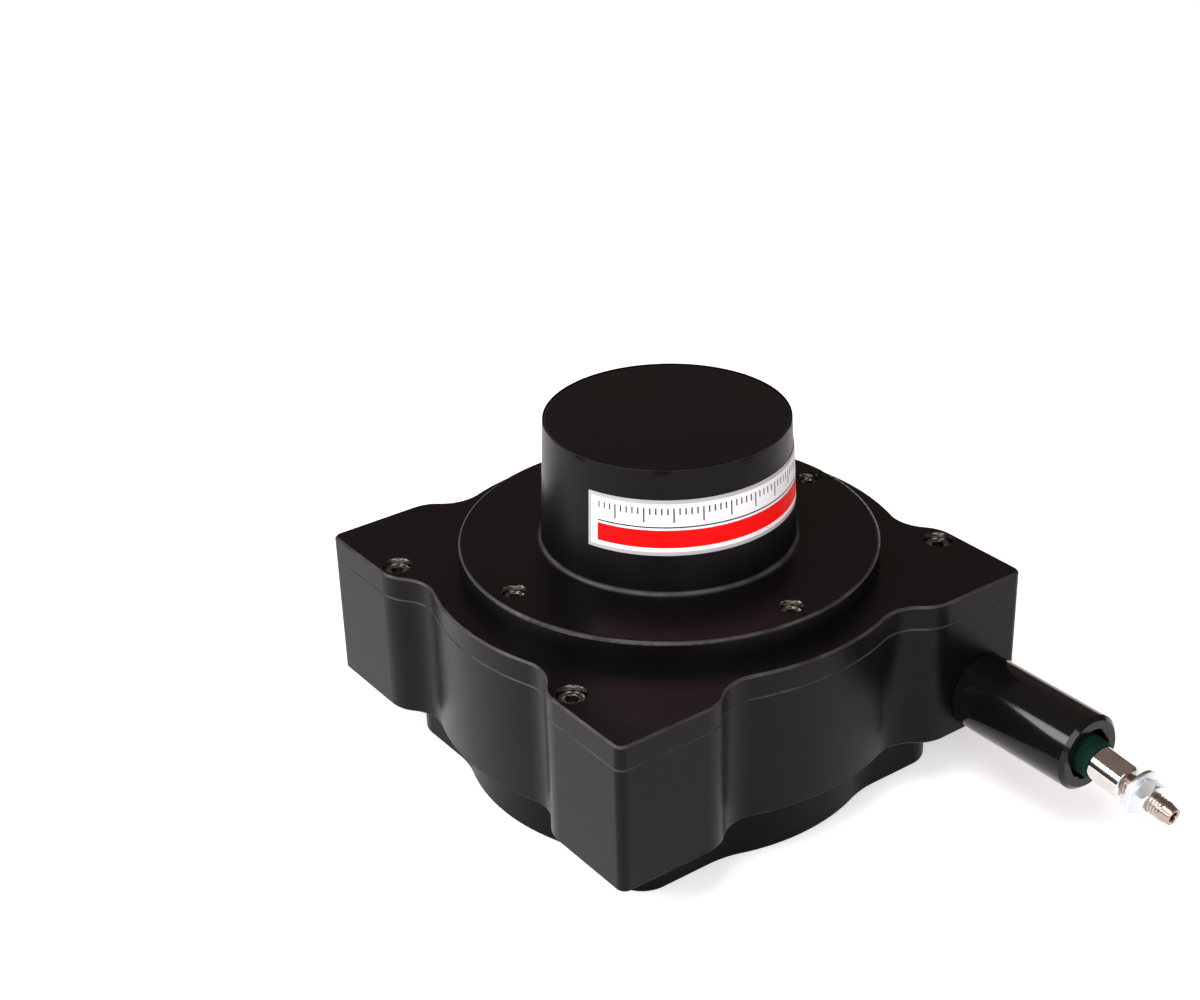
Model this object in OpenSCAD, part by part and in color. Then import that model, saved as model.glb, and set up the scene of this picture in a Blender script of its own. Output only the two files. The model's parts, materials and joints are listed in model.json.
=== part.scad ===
// Draw wire encoder: a spring-loaded drum pays out a measuring wire and turns an encoder.
// Millimetres, +Z up. The origin is the centre of the bottom face, on the drum's axis.
// The wire leaves along +X.

/* [Drum housing] */
// Side of the square body, across its corner ears
body_side = 120; // [116:1:130]
// Height of the body, without the cover plate
body_h = 32; // [31:0.5:40]
// Radius of the round bulge on each side
bulge_r = 59; // [57:0.5:60]
// Length of the flat face of each ear
ear_flat = 24; // [22:0.5:27]
// Radius where an ear's flat face rolls inwards
ear_round = 9.5; // [8:0.5:11]
// Radius of the hollow between ear and bulge
ear_hollow = 10; // [8:0.5:12]
// Radius of the body's upright corners
body_corner_r = 2.2; // [1.5:0.1:5]
// Radius of the drum chamber
chamber_r = 51.5; // [51:0.1:53]
// Thickness of the body's floor
body_floor = 3.5; // [3:0.1:4]
// Bevel along the bottom edge of the body
body_bevel = 0.3; // [0.2:0.1:0.8]

/* [Cover plate] */
// Thickness of the cover plate
plate_t = 6; // [5.5:0.5:8]
// Bevel along the plate's top edge
plate_bevel = 0.5; // [0.3:0.1:1]
// Fine bevel on both edges of a parting line
seam_bevel = 0.25; // [0.2:0.05:0.4]
// Distance of a plate screw from the middle, along the outlet side
plate_screw_x = 36.5; // [35:0.5:42]
// Distance of a plate screw from the body's side face
plate_screw_edge = 4.7; // [4.5:0.1:8]

/* [Spring case] */
// Side of the spring case, across its corners
case_side = 95.2; // [94:0.2:98]
// Height of the spring case
case_h = 16; // [15:0.5:20]
// Radius of the round bulge on each side of the case
case_bulge_r = 52; // [51:0.5:55]
// Radius of the hollow between the case's side and its bulge
case_hollow = 25; // [15:1:30]
// Radius of the case's upright corners
case_corner_r = 8.5; // [6:0.5:10]
// Radius of the spring chamber
spring_chamber_r = 47.5; // [46:0.1:48]
// Thickness of the case's floor
case_floor = 3; // [2.5:0.1:3.5]
// Bevel along the case's bottom edge
case_bevel = 0.6; // [0.3:0.1:1]
// Distance of each mounting hole from the middle, in X and in Y
mount_xy = 42; // [41.5:0.1:42.5]
// Tapping diameter of the mounting threads, M5
mount_tap_d = 4.2; // [4:0.1:4.5]
// Depth of the mounting threads
mount_depth = 10; // [8:0.5:12]
// Distance from the axis to each screw that holds the case
case_screw_r = 54.5; // [54.2:0.1:54.8]
// Angle of those screws from the nearest X or Y axis
case_screw_angle = 39.2; // [38.8:0.1:39.6]

/* [Encoder hood] */
// Diameter of the hood's flange
flange_d = 102.2; // [98:0.2:106]
// Thickness of the hood's flange
flange_t = 5.8; // [5.5:0.1:7]
// Diameter of the cap where it meets the flange
cap_base_d = 62; // [61:0.5:66]
// Diameter of the cap at its top
cap_top_d = 59; // [58:0.5:60.5]
// Height of the cap above the flange
cap_h = 31.4; // [30.5:0.2:36]
// Wall of the cap
cap_wall = 3; // [2.5:0.1:3.2]
// Radius of the cap's top edge
cap_edge_r = 1.3; // [0.8:0.1:2]
// Radius at the foot of the cap
cap_foot_r = 1.4; // [0.8:0.1:2]
// Radius of the flange's top edge
flange_edge_r = 1; // [0.6:0.1:1.6]
// Distance from the axis to each hood screw
hood_screw_r = 45.3; // [44:0.1:46.5]
// Height of the label's lower edge above the flange
label_rise = 10.4; // [6:0.2:14]
// Height of the label
label_h = 13.8; // [10:0.2:15]
// Thickness of the label
label_t = 0.2; // [0.1:0.05:0.3]
// Direction in which the label starts, from +X
label_from = -74.5; // [-90:0.5:-60]
// Angle that the label wraps round the cap
label_sweep = 136; // [100:1:160]

/* [Wire outlet] */
// Outer diameter of the outlet tube
tube_d = 19; // [18:0.2:20]
// Length of the tube outside the body
tube_len = 35.2; // [32:0.2:45]
// Height of the wire above the body's bottom face
wire_rise = 9.6; // [9.6:0.1:10.4]
// Diameter of the mouth, which holds the bumper
mouth_d = 12; // [11.6:0.1:13]
// Depth of the mouth
mouth_depth = 7.2; // [6.8:0.1:7.6]
// Diameter of the tube's inner bore
tube_bore_d = 10; // [9:0.1:10.6]
// Diameter of the hole between inner bore and mouth
throat_d = 5; // [4:0.1:5.4]
// Length of that hole
throat_len = 4; // [3:0.1:6]
// Diameter of the tube's spigot in the body
spigot_d = 14; // [13.6:0.1:15]
// Length of the tube's spigot in the body
spigot_len = 12; // [10:0.2:16]

/* [Wire and its fitting] */
// Measuring length, from retracted to fully drawn
stroke = 3000; // [1000:100:3000]
// Wire that one turn of the drum pays out
wire_per_turn = 300; // [296:0.5:302]
// Diameter of the coated wire
wire_d = 0.8; // [0.6:0.05:1]
// Diameter of the stop bumper
bumper_d = 9.6; // [9:0.1:10]
// Length of the bumper in front of the middle of its round back
bumper_len = 5.5; // [5:0.1:8]
// Angle at which the loose fitting hangs in the mouth
droop = 7.5; // [0:0.5:9]
// Diameter of the chromed sleeve
sleeve_d = 8.5; // [7.5:0.1:9]
// Length of the sleeve
sleeve_len = 9.2; // [8.5:0.1:14]
// Diameter of the threaded stud, M5
stud_d = 5; // [4:0.1:5.5]
// Length of the stud beyond the sleeve
stud_out = 13; // [12.4:0.1:16]
// Distance from the sleeve to the nut
nut_gap = 2.4; // [0.5:0.1:2.8]
// Width across the nut's flats
nut_af = 8; // [8:0.1:8.6]
// Height of the nut with its flange
nut_h = 4.7; // [4.4:0.1:5]
// Diameter of the nut's flange
nut_flange_d = 11.4; // [10.8:0.1:12]

/* [Drum and shaft] */
// Radius of the drum's flanges
drum_flange_r = 50.5; // [50:0.1:50.8]
// Room for the wire between the drum's flanges
wire_room = 8.6; // [8.3:0.1:9.5]
// Thickness of each drum flange
drum_flange_t = 1.4; // [1:0.1:1.6]
// Thickness of the drum's rim
rim_t = 3; // [2.5:0.1:4]
// Thickness of the drum's web
web_t = 3; // [2.5:0.1:4]
// Number of lightening holes in the web
web_holes = 6; // [5:1:8]
// Radius of a lightening hole
web_hole_r = 7.5; // [5:0.5:8]
// Outer radius of the drum's hub
hub_r = 13; // [12:0.5:14]
// Diameter of the shaft and of the bearings' bores
shaft_d = 8; // [7.5:0.1:8.5]
// Outer diameter of the bearings
bearing_d = 22; // [21.6:0.1:23]
// Width of the bearings
bearing_w = 7; // [6.8:0.1:7.4]
// Number of balls in a bearing
ball_count = 7; // [6:1:8]
// Turns of the mainspring
spring_turns = 14; // [8:1:16]
// Thickness of the mainspring's strip
spring_t = 0.5; // [0.3:0.05:0.7]
// Width of the mainspring's strip
spring_w = 10; // [8:0.5:10.5]
// Radius of the arbor that winds the mainspring
arbor_r = 11.5; // [10:0.5:13]

/* [Encoder unit] */
// Gap between the encoder's base and the foot of the cap's wall
base_gap = 2.5; // [2:0.1:3.5]
// Thickness of the encoder's base
base_t = 5; // [4.5:0.1:5.5]
// Gap between the glass code disc and the board's spacers
disc_gap = 0.6; // [0.5:0.1:1.2]
// Thickness of the code disc
disc_t = 1; // [0.8:0.1:1.2]
// Height of the circuit board above the base
board_rise = 11; // [10.6:0.1:12]
// Gap between the circuit board and the top of the cap's wall
board_gap = 3.3; // [3:0.1:4]
// Thickness of the circuit board
board_t = 1.6; // [1.2:0.1:2]
// Direction of the connector, from +X
connector_angle = 135; // [130:1:140]
// Height of the connector's middle above the flange
connector_rise = 14.2; // [13.6:0.1:16]
// Diameter of the connector's thread, M12
connector_d = 12; // [11.5:0.1:12.3]
// Width across the flats of the connector's flange
connector_af = 17; // [16.8:0.1:18]

/* [Clearances] */
// Radial clearance of a part that runs in another
running_gap = 0.05; // [0.02:0.01:0.1]
// Radial clearance of parts that are fixed together
fixed_gap = 0.02; // [0.01:0.01:0.05]
// Radial clearance of a screw in its thread
thread_gap = 0.05; // [0.02:0.01:0.1]
// Radial clearance of a screw in a through hole
hole_gap = 0.2; // [0.1:0.05:0.3]
// Radial clearance of the wire in its guide and its wiper
guide_gap = 0.1; // [0.05:0.01:0.15]
// Distance between parts that pass each other
free_gap = 1; // [0.8:0.1:1.2]
// Distance between soft parts and what they rest on
soft_gap = 0.3; // [0.2:0.05:0.4]

/* [Hidden] */
$fn = 96;

// overrun of a cutting shape
e = 0.3;
// step where two round shapes would only touch
hair = 0.01;

// levels of the housing
body_z = case_h;
plate_z = body_z + body_h;
hood_z = plate_z + plate_t;
cap_z = hood_z + flange_t;
top_z = cap_z + cap_h;

// wire: it leaves the drum as a tangent at tangent_y
wire_r = wire_d / 2;
wire_z = body_z + wire_rise;
tangent_y = wire_per_turn / (2 * PI);
drum_r = tangent_y - wire_r;
turns = ceil(stroke / wire_per_turn);
turn_pitch = wire_d * 0.985;
// where the straight wire begins, beside the drum
wire_start = 14;

// levels inside the drum housing
shaft_r = shaft_d / 2;
bearing_r = bearing_d / 2;
shoulder_r = bearing_r - 3;
boss_r = bearing_r + 4;
body_floor_z = body_z + body_floor;
lower_bearing_z = body_z + 2;
drum_z = body_floor_z + free_gap;
wire_room_z = drum_z + drum_flange_t;
first_turn_z = wire_room_z + (wire_room - (turns - 1) * turn_pitch) / 2;
web_z = wire_room_z + wire_room + drum_flange_t;
hub_z = lower_bearing_z + bearing_w + free_gap;
hub_top_z = web_z + web_t + 2.5;
upper_bearing_z = plate_z - bearing_w;

// encoder levels
hub_rise = 3;
base_z = hood_z;
base_top_z = base_z + base_t;
disc_hub_z = base_z + hub_rise;
disc_rise = 4.2;
disc_z = base_top_z + disc_rise;
clamp_z = disc_z + disc_t;
clamp_t = 1.2;
board_z = base_top_z + board_rise;
shaft_end_z = clamp_z + 0.7;

// radii inside the cap
cap_base_r = cap_base_d / 2;
cap_top_r = cap_top_d / 2;
base_r = cap_base_r - cap_wall - base_gap;
board_r = cap_top_r - cap_wall - board_gap;
spacer_af = 4;
spacer_r = board_r - 2.5;
disc_r = spacer_r - spacer_af / cos(30) / 2 - disc_gap;

// screw sizes: thread, head diameter, head height, hexagon key
m2 = [2, 3.8, 1.2, 1.3];
m3 = [3, 5.5, 3, 2.5];
m4 = [4, 6.8, 4, 3];

// depths of the recesses that hold M3 heads
case_recess = m3[2] + 0.4;
hood_recess = m3[2] + 0.2;
base_recess = m3[2] + 0.1;

// lengths of screws under their heads, or of their threads in the piece below
case_screw_bite = 5.5;
plate_screw_len = 12;
hood_screw_len = 7;

// places that repeat
quarter = [0, 90, 180, 270];
thirds = [0, 120, 240];
plate_screw_y = body_side / 2 - plate_screw_edge;
base_screw_r = base_r - 4.5;

// ---------- shared shapes ----------

// Round post with bevelled ends; a negative bevel flares. Both ends run on by over.
module post(r, h, c0, c1, over = 0)
  rotate_extrude()
    polygon([
      [0, -over],
      [r - c0 - sign(c0) * over, -over],
      [r, abs(c0)],
      [r, h - abs(c1)],
      [r - c1 - sign(c1) * over, h + over],
      [0, h + over],
    ]);

// Ring between two radii
module ring(r_out, r_in, h)
  difference() {
    cylinder(r = r_out, h = h);
    translate([0, 0, -e]) cylinder(r = r_in, h = h + 2 * e);
  }

// Torus about Z
module o_ring(r, cord_r)
  rotate_extrude()
    translate([r, 0])
      circle(cord_r);

// Groove for an O-ring, cut into the plane z = 0
module seal_groove(r, cord_r) {
  side_gap = 0.25;
  lift = 0.05;
  rotate_extrude()
    translate([r, 0])
      square([2 * (cord_r + side_gap), 2 * (2 * cord_r + lift)], center = true);
}

// Square block with round upright corners and bevelled ends
module corner_block(side, corner_r, h, c0, c1) {
  half = side / 2;
  inner = half - corner_r;
  difference() {
    translate([-half, -half, 0]) cube([side, side, h]);
    for (a = quarter) rotate(a) {
      difference() {
        translate([inner, inner, -e]) cube([corner_r + e, corner_r + e, h + 2 * e]);
        translate([inner, inner, 0]) post(corner_r, h, c0, c1, 2 * e);
      }
      translate([0, half, 0]) rotate([45, 0, 0])
        cube([side + 2, c0 * sqrt(2), c0 * sqrt(2)], center = true);
      translate([0, half, h]) rotate([45, 0, 0])
        cube([side + 2, c1 * sqrt(2), c1 * sqrt(2)], center = true);
    }
  }
}

// Centre of the hollow circle that touches the bulge and the ear's round, for x > 0
function hollow_centre(half, bulge, flat_end, round_r, hollow_r) =
  let (cy = half - round_r,
       from_axis = bulge + hollow_r,
       from_round = round_r + hollow_r,
       d = sqrt(flat_end * flat_end + cy * cy),
       along = (from_axis * from_axis - from_round * from_round + d * d) / (2 * d),
       across = sqrt(from_axis * from_axis - along * along))
  [along * flat_end - across * cy, along * cy + across * flat_end] / d;

// The wavy outline that body and cover plate share: on each side a bulge between two ears.
// Each hollow runs into its bulge and its ear by a hair, so that no two arcs only touch.
module wavy_block(h, c0, c1) {
  half = body_side / 2;
  ear_x = half - ear_flat;
  ear = [ear_x, half - ear_round];
  hollow = hollow_centre(half, bulge_r, ear_x, ear_round, ear_hollow);
  inner = ear - [4, 2];
  post(bulge_r, h, c0, c1);
  for (a = quarter) rotate(a) {
    for (m = [0, 1]) mirror([m, 0, 0]) {
      translate([ear[0], ear[1], 0]) post(ear_round, h, c0, c1);
      difference() {
        linear_extrude(h) polygon([[0, 0], ear, hollow]);
        translate([hollow[0], hollow[1], 0]) post(ear_hollow + hair, h, -c0, -c1, e);
      }
    }
    intersection() {
      corner_block(body_side, body_corner_r, h, c0, c1);
      translate([0, 0, -e]) linear_extrude(h + 2 * e)
        polygon([
          [0, 0],
          inner,
          ear,
          [ear_x, half + 1],
          [half + 1, half + 1],
          [half + 1, ear_x],
          [ear[1], ear[0]],
          [inner[1], inner[0]],
        ]);
    }
  }
}

// The spring case's outline: a square and a disc, blended by hollows
module case_block(h, c0, c1) {
  half = case_side / 2;
  hollow_y = half + case_hollow;
  hollow_x = sqrt((case_bulge_r + case_hollow) ^ 2 - hollow_y ^ 2);
  corner_block(case_side, case_corner_r, h, c0, c1);
  post(case_bulge_r, h, c0, c1);
  for (a = quarter, m = [0, 1])
    rotate(a) mirror([m, 0, 0])
      difference() {
        linear_extrude(h) polygon([[0, 0], [hollow_x, 0], [hollow_x, hollow_y]]);
        translate([hollow_x, hollow_y, 0]) post(case_hollow + hair, h, -c0, -c1, e);
      }
}

// Area between the corner at p and the circle that touches its two edges
module corner_sliver(p, to_a, to_b, r) {
  a = to_a / norm(to_a);
  b = to_b / norm(to_b);
  half_angle = acos(a * b) / 2;
  reach = r / tan(half_angle);
  mid = (a + b) / norm(a + b);
  difference() {
    polygon([p, p + a * reach, p + b * reach]);
    translate(p + mid * r / sin(half_angle)) circle(r);
  }
}

// Socket head screw; the underside of its head is at z = 0
module socket_screw(size, length) {
  d = size[0];
  head_r = size[1] / 2;
  head_h = size[2];
  edge = head_h * 0.1;
  difference() {
    union() {
      translate([0, 0, -length]) cylinder(d = d, h = length + e);
      rotate_extrude()
        polygon([[0, 0], [head_r, 0], [head_r, head_h - edge], [head_r - edge, head_h], [0, head_h]]);
    }
    translate([0, 0, head_h * 0.45]) cylinder(d = size[3] / cos(30), h = head_h, $fn = 6);
  }
}

// Hole for such a screw: head recess, through hole and thread below it
module screw_hole(size, grip, thread, recess) {
  cylinder(d = size[1] + 2 * hole_gap + 0.2, h = recess + e);
  translate([0, 0, -grip - e]) cylinder(d = size[0] + 2 * hole_gap, h = grip + 2 * e);
  translate([0, 0, -grip - thread]) cylinder(d = size[0] + 2 * thread_gap, h = thread + e);
}

module at_plate_screws()
  for (x = [-1, 1], y = [-1, 1])
    translate([x * plate_screw_x, y * plate_screw_y, hood_z - m4[2]])
      children();

module at_hood_screws()
  for (a = quarter)
    rotate(a) translate([hood_screw_r, 0, cap_z - hood_recess])
      children();

// The case's screws come from below, so their heads face down
module at_case_screws()
  for (a = quarter, m = [0, 1])
    rotate(a) mirror([0, m, 0]) rotate(case_screw_angle)
      translate([case_screw_r, 0, case_recess]) rotate([180, 0, 0])
        children();

module at_base_screws()
  for (a = [30, 150, 270])
    rotate(a) translate([base_screw_r, 0, base_top_z - base_recess])
      children();

module at_spacers()
  for (a = [90, 210, 330])
    rotate(a) translate([spacer_r, 0, 0])
      children();

module at_connector()
  rotate(connector_angle) translate([0, 0, cap_z + connector_rise]) rotate([0, 90, 0])
    children();

module at_tube()
  translate([body_side / 2, tangent_y, wire_z]) rotate([0, 90, 0])
    children();

// ---------- spring case ----------

anchor_r = 1.4;
anchor_foot = 1.8;
eye_rise = 0.35;
tab_len = 2.6;
spring_inset = 2.8;
case_cord_r = 0.4;
spring_end_r = spring_chamber_r - spring_inset;
spring_start_r = arbor_r + soft_gap;
spring_z = case_floor + free_gap;
case_seal_r = (spring_chamber_r + case_bulge_r) / 2;
case_screw_grip = case_h - case_recess;
anchor_y = anchor_r + running_gap + spring_t + eye_rise;
pin_r = 1.25;

module spring_case()
  color("#2c2a2d")
    difference() {
      case_block(case_h, case_bevel, seam_bevel);
      translate([0, 0, case_floor]) cylinder(r = spring_chamber_r, h = case_h);
      for (x = [-1, 1], y = [-1, 1])
        translate([x * mount_xy, y * mount_xy, -e]) cylinder(d = mount_tap_d, h = mount_depth + e);
      at_case_screws() screw_hole(m3, case_screw_grip, 0, case_recess);
      translate([spring_end_r + spring_t / 2, anchor_y, case_floor - anchor_foot])
        cylinder(r = anchor_r + fixed_gap, h = anchor_foot + e);
      translate([0, 0, case_h]) seal_groove(case_seal_r, case_cord_r);
    }

module spring_case_screws()
  color("#3a3a3c")
    at_case_screws() socket_screw(m3, case_screw_grip + case_screw_bite);

module spring_case_seal()
  color("#1b1b1b")
    translate([0, 0, case_h - case_cord_r]) o_ring(case_seal_r, case_cord_r);

// Half of one turn of the strip, from +X round to -X
module half_turn(r)
  rotate_extrude(angle = 180) translate([r, 0]) square([spring_t, spring_w]);

// Spiral of half turns whose centres alternate, so that every join is smooth
module mainspring() {
  pitch = (spring_end_r - spring_start_r) / spring_turns;
  color("#8d9094")
    translate([0, 0, spring_z]) difference() {
      union() {
        for (k = [0 : spring_turns - 1]) {
          half_turn(spring_start_r + k * pitch);
          translate([pitch / 2, 0, 0]) rotate(180) half_turn(spring_start_r + (k + 0.5) * pitch);
        }
        translate([spring_start_r - tab_len, -spring_t, 0]) cube([tab_len + spring_t, spring_t, spring_w]);
        translate([spring_end_r, 0, 0]) cube([spring_t, anchor_y, spring_w]);
        translate([spring_end_r + spring_t / 2, anchor_y, 0])
          cylinder(r = anchor_r + running_gap + spring_t, h = spring_w);
      }
      translate([spring_end_r + spring_t / 2, anchor_y, -e])
        cylinder(r = anchor_r + running_gap, h = spring_w + 2 * e);
    }
}

module spring_anchor()
  color("#a7a9ac")
    translate([spring_end_r + spring_t / 2, anchor_y, case_floor - anchor_foot])
      cylinder(r = anchor_r, h = case_h - case_floor);

module spring_arbor()
  color("#b5a642")
    translate([0, 0, spring_z]) difference() {
      cylinder(r = arbor_r, h = spring_w);
      translate([0, 0, -e]) cylinder(r = shaft_r + fixed_gap, h = spring_w + 2 * e);
      translate([spring_start_r - tab_len - soft_gap, -spring_t - soft_gap, -e])
        cube([tab_len + 2 * soft_gap + e, spring_t + 2 * soft_gap, spring_w + 2 * e]);
      translate([0, 0, spring_w / 2]) rotate([90, 0, 0])
        cylinder(r = pin_r + fixed_gap, h = 3 * arbor_r, center = true);
    }

module arbor_pin()
  color("#a7a9ac")
    translate([0, 0, spring_z + spring_w / 2]) rotate([90, 0, 0])
      cylinder(r = pin_r, h = 2 * arbor_r - 2, center = true);

// ---------- drum housing ----------

spigot_r = spigot_d / 2;
wire_bore_x = 10;
wire_bore_depth = body_side / 2 - wire_bore_x;
plate_cord_r = 0.5;
plate_seal_r = chamber_r + 2.6;

module bearing_seat(from, to)
  translate([0, 0, from]) cylinder(r = bearing_r + fixed_gap, h = to - from);

module drum_housing()
  color("#2b2a2c")
    difference() {
      translate([0, 0, body_z]) wavy_block(body_h, body_bevel, seam_bevel);
      difference() {
        translate([0, 0, body_floor_z]) cylinder(r = chamber_r, h = body_h);
        translate([0, 0, body_floor_z - e])
          cylinder(r = boss_r, h = lower_bearing_z + bearing_w - body_floor_z + e);
      }
      bearing_seat(lower_bearing_z, lower_bearing_z + bearing_w + e);
      translate([0, 0, body_z - e]) cylinder(r = shoulder_r, h = body_h);
      translate([0, 0, plate_z]) seal_groove(plate_seal_r, plate_cord_r);
      at_plate_screws() screw_hole(m4, plate_t, plate_screw_len, m4[2]);
      at_case_screws() screw_hole(m3, case_screw_grip, case_screw_bite + 1, m3[2]);
      at_tube() translate([0, 0, -spigot_len]) cylinder(r = spigot_r + fixed_gap, h = spigot_len + e);
      at_tube() translate([0, 0, -wire_bore_depth]) cylinder(d = tube_bore_d, h = wire_bore_depth);
    }

module plate_seal()
  color("#1b1b1b")
    translate([0, 0, plate_z - plate_cord_r]) o_ring(plate_seal_r, plate_cord_r);

// ---------- bearings ----------

// shares of its own width that any bearing of this kind has
ball_r = bearing_w * 0.28;
ball_path_r = (shaft_r + bearing_r) / 2;
land = ball_r * 0.72;
cage_h = bearing_w * 0.72;
cage_t = bearing_w * 0.23;

module at_bearings()
  for (z = [lower_bearing_z, upper_bearing_z])
    translate([0, 0, z])
      children();

module race_groove()
  translate([0, 0, bearing_w / 2]) o_ring(ball_path_r, ball_r + running_gap);

module bearing_outer_rings()
  color("#c4c7cb")
    at_bearings() difference() {
      ring(bearing_r, ball_path_r + land, bearing_w);
      race_groove();
    }

module bearing_inner_rings()
  color("#c4c7cb")
    at_bearings() difference() {
      ring(ball_path_r - land, shaft_r + fixed_gap, bearing_w);
      race_groove();
    }

module bearing_balls()
  color("#d8dadd")
    at_bearings()
      for (k = [1 : ball_count])
        rotate(360 * k / ball_count) translate([ball_path_r, 0, bearing_w / 2]) sphere(ball_r);

module bearing_cages()
  color("#6d5a36")
    at_bearings() difference() {
      translate([0, 0, (bearing_w - cage_h) / 2])
        ring(ball_path_r + cage_t / 2, ball_path_r - cage_t / 2, cage_h);
      for (k = [1 : ball_count])
        rotate(360 * k / ball_count) translate([ball_path_r - cage_t, 0, bearing_w / 2]) rotate([0, 90, 0])
          cylinder(r = ball_r + running_gap, h = 2 * cage_t);
    }

// A felt ring beyond each bearing, in the shoulder's bore
felt_lift = 2;

module shaft_seals()
  color("#5b5148") {
    translate([0, 0, plate_z + felt_lift])
      ring(shoulder_r - fixed_gap, shaft_r + running_gap, plate_t - felt_lift - soft_gap);
    translate([0, 0, body_z])
      ring(shoulder_r - fixed_gap, shaft_r + running_gap, lower_clip_z - body_z - soft_gap);
  }

// ---------- cover plate ----------

module top_plate()
  color("#241f1d")
    difference() {
      union() {
        translate([0, 0, plate_z]) wavy_block(plate_t, seam_bevel, plate_bevel);
        translate([0, 0, upper_bearing_z]) cylinder(r = boss_r, h = bearing_w + e);
      }
      bearing_seat(upper_bearing_z - e, plate_z);
      translate([0, 0, upper_bearing_z]) cylinder(r = shoulder_r, h = body_h);
      at_plate_screws() screw_hole(m4, plate_t, 0, m4[2]);
      at_hood_screws()
        screw_hole(m3, flange_t - hood_recess, hood_screw_len - flange_t + hood_recess + 0.6, m3[2]);
      at_base_screws() screw_hole(m3, base_t - base_recess, plate_t - 1, m3[2]);
    }

module top_plate_screws()
  color("#b9bbbd")
    at_plate_screws() socket_screw(m4, plate_screw_len);

// ---------- encoder hood ----------

flange_r = flange_d / 2;
hood_cord_r = 0.75;
hood_seal_r = cap_base_r + 6;
connector_hole_r = connector_d / 2 + 0.9;
nut_ring_r = connector_hole_r + 1.1;
nut_ring_t = 2;
pad_r = connector_d / 2 + 4;
pad_x = cap_base_r + 1.2;
pad_foot = 2;

// Radius of the cap's outside at a height above the flange
function cap_r_at(rise) = cap_base_r - (cap_base_r - cap_top_r) * rise / cap_h;

// Where the connector's nut can lie flat against the inside of the cap
nut_seat_x = sqrt((cap_r_at(connector_rise + nut_ring_r) - cap_wall) ^ 2 - nut_ring_r ^ 2) - 0.1;

module hood_outline() {
  slope = [cap_top_r - cap_base_r, cap_h];
  difference() {
    translate([0, hood_z]) square([flange_r, flange_t]);
    corner_sliver([flange_r, cap_z], [-1, 0], [0, -1], flange_edge_r);
  }
  difference() {
    translate([0, cap_z - e])
      polygon([[0, 0], [cap_base_r, 0], [cap_base_r, e], [cap_top_r, cap_h + e], [0, cap_h + e]]);
    corner_sliver([cap_top_r, top_z], [-1, 0], -slope, cap_edge_r);
  }
  corner_sliver([cap_base_r, cap_z], [1, 0], slope, cap_foot_r);
}

module hood_hollow()
  polygon([
    [0, hood_z - e],
    [cap_base_r - cap_wall, hood_z - e],
    [cap_base_r - cap_wall, cap_z],
    [cap_top_r - cap_wall, top_z - cap_wall],
    [0, top_z - cap_wall],
  ]);

module encoder_hood()
  color("#201e1f")
    difference() {
      union() {
        rotate_extrude() hood_outline();
        at_connector() translate([0, 0, cap_top_r - pad_foot])
          post(pad_r, pad_x - cap_top_r + pad_foot, hair, 0.5);
      }
      rotate_extrude() hood_hollow();
      at_connector() translate([0, 0, nut_seat_x - 2 * nut_ring_t])
        cylinder(r = nut_ring_r + 0.6, h = 2 * nut_ring_t);
      at_connector() cylinder(r = connector_hole_r, h = pad_x + e);
      at_hood_screws() screw_hole(m3, flange_t - hood_recess, 0, hood_recess);
      translate([0, 0, hood_z]) seal_groove(hood_seal_r, hood_cord_r);
    }

module hood_screws()
  color("#4a4744")
    at_hood_screws() socket_screw(m3, hood_screw_len);

module hood_seal()
  color("#1b1b1b")
    translate([0, 0, hood_z + hood_cord_r]) o_ring(hood_seal_r, hood_cord_r);

// Label wrapped round the cap
module label_plate() {
  r_low = cap_r_at(label_rise);
  r_high = cap_r_at(label_rise + label_h);
  color("#e9eaec")
    translate([0, 0, cap_z + label_rise]) rotate(label_from)
      rotate_extrude(angle = label_sweep)
        polygon([[r_low, 0], [r_low + label_t, 0], [r_high + label_t, label_h], [r_high, label_h]]);
}

// ---------- wire outlet ----------

tube_r = tube_d / 2;
bore_r = tube_bore_d / 2;
mouth_z = tube_len - mouth_depth;
throat_z = mouth_z - throat_len;
bush_len = 10;
bush_mouth_r = 2.2;
spacer_wall = 1.2;
wiper_len = 6;
outlet_cord_r = 0.6;
outlet_seal_r = spigot_r - outlet_cord_r;
outlet_seal_z = -2.2;

module outlet_tube()
  color("#121214")
    at_tube() difference() {
      union() {
        post(tube_r, tube_len, 0.4, 1);
        translate([0, 0, -spigot_len]) cylinder(r = spigot_r, h = spigot_len + e);
      }
      translate([0, 0, -spigot_len - e]) cylinder(r = bore_r, h = spigot_len + throat_z + e);
      cylinder(d = throat_d, h = tube_len);
      translate([0, 0, mouth_z]) post(mouth_d / 2, mouth_depth, hair, -0.4, e);
      translate([0, 0, outlet_seal_z - outlet_cord_r - 0.2])
        ring(spigot_r + 1, outlet_seal_r - outlet_cord_r - 0.1, 2 * outlet_cord_r + 0.4);
    }

module outlet_seal()
  color("#1b1b1b")
    at_tube() translate([0, 0, outlet_seal_z]) o_ring(outlet_seal_r, outlet_cord_r);

module guide_bush()
  color("#e8e4da")
    at_tube() translate([0, 0, -spigot_len]) difference() {
      cylinder(r = bore_r - fixed_gap, h = bush_len);
      translate([0, 0, -e]) cylinder(r = wire_r + guide_gap, h = bush_len + 2 * e);
      translate([0, 0, -e]) cylinder(r1 = bush_mouth_r, r2 = wire_r + guide_gap, h = bush_mouth_r);
    }

module guide_spacer()
  color("#9a9da1")
    at_tube() translate([0, 0, bush_len - spigot_len])
      ring(bore_r - fixed_gap, bore_r - spacer_wall, throat_z - wiper_len + spigot_len - bush_len);

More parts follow.
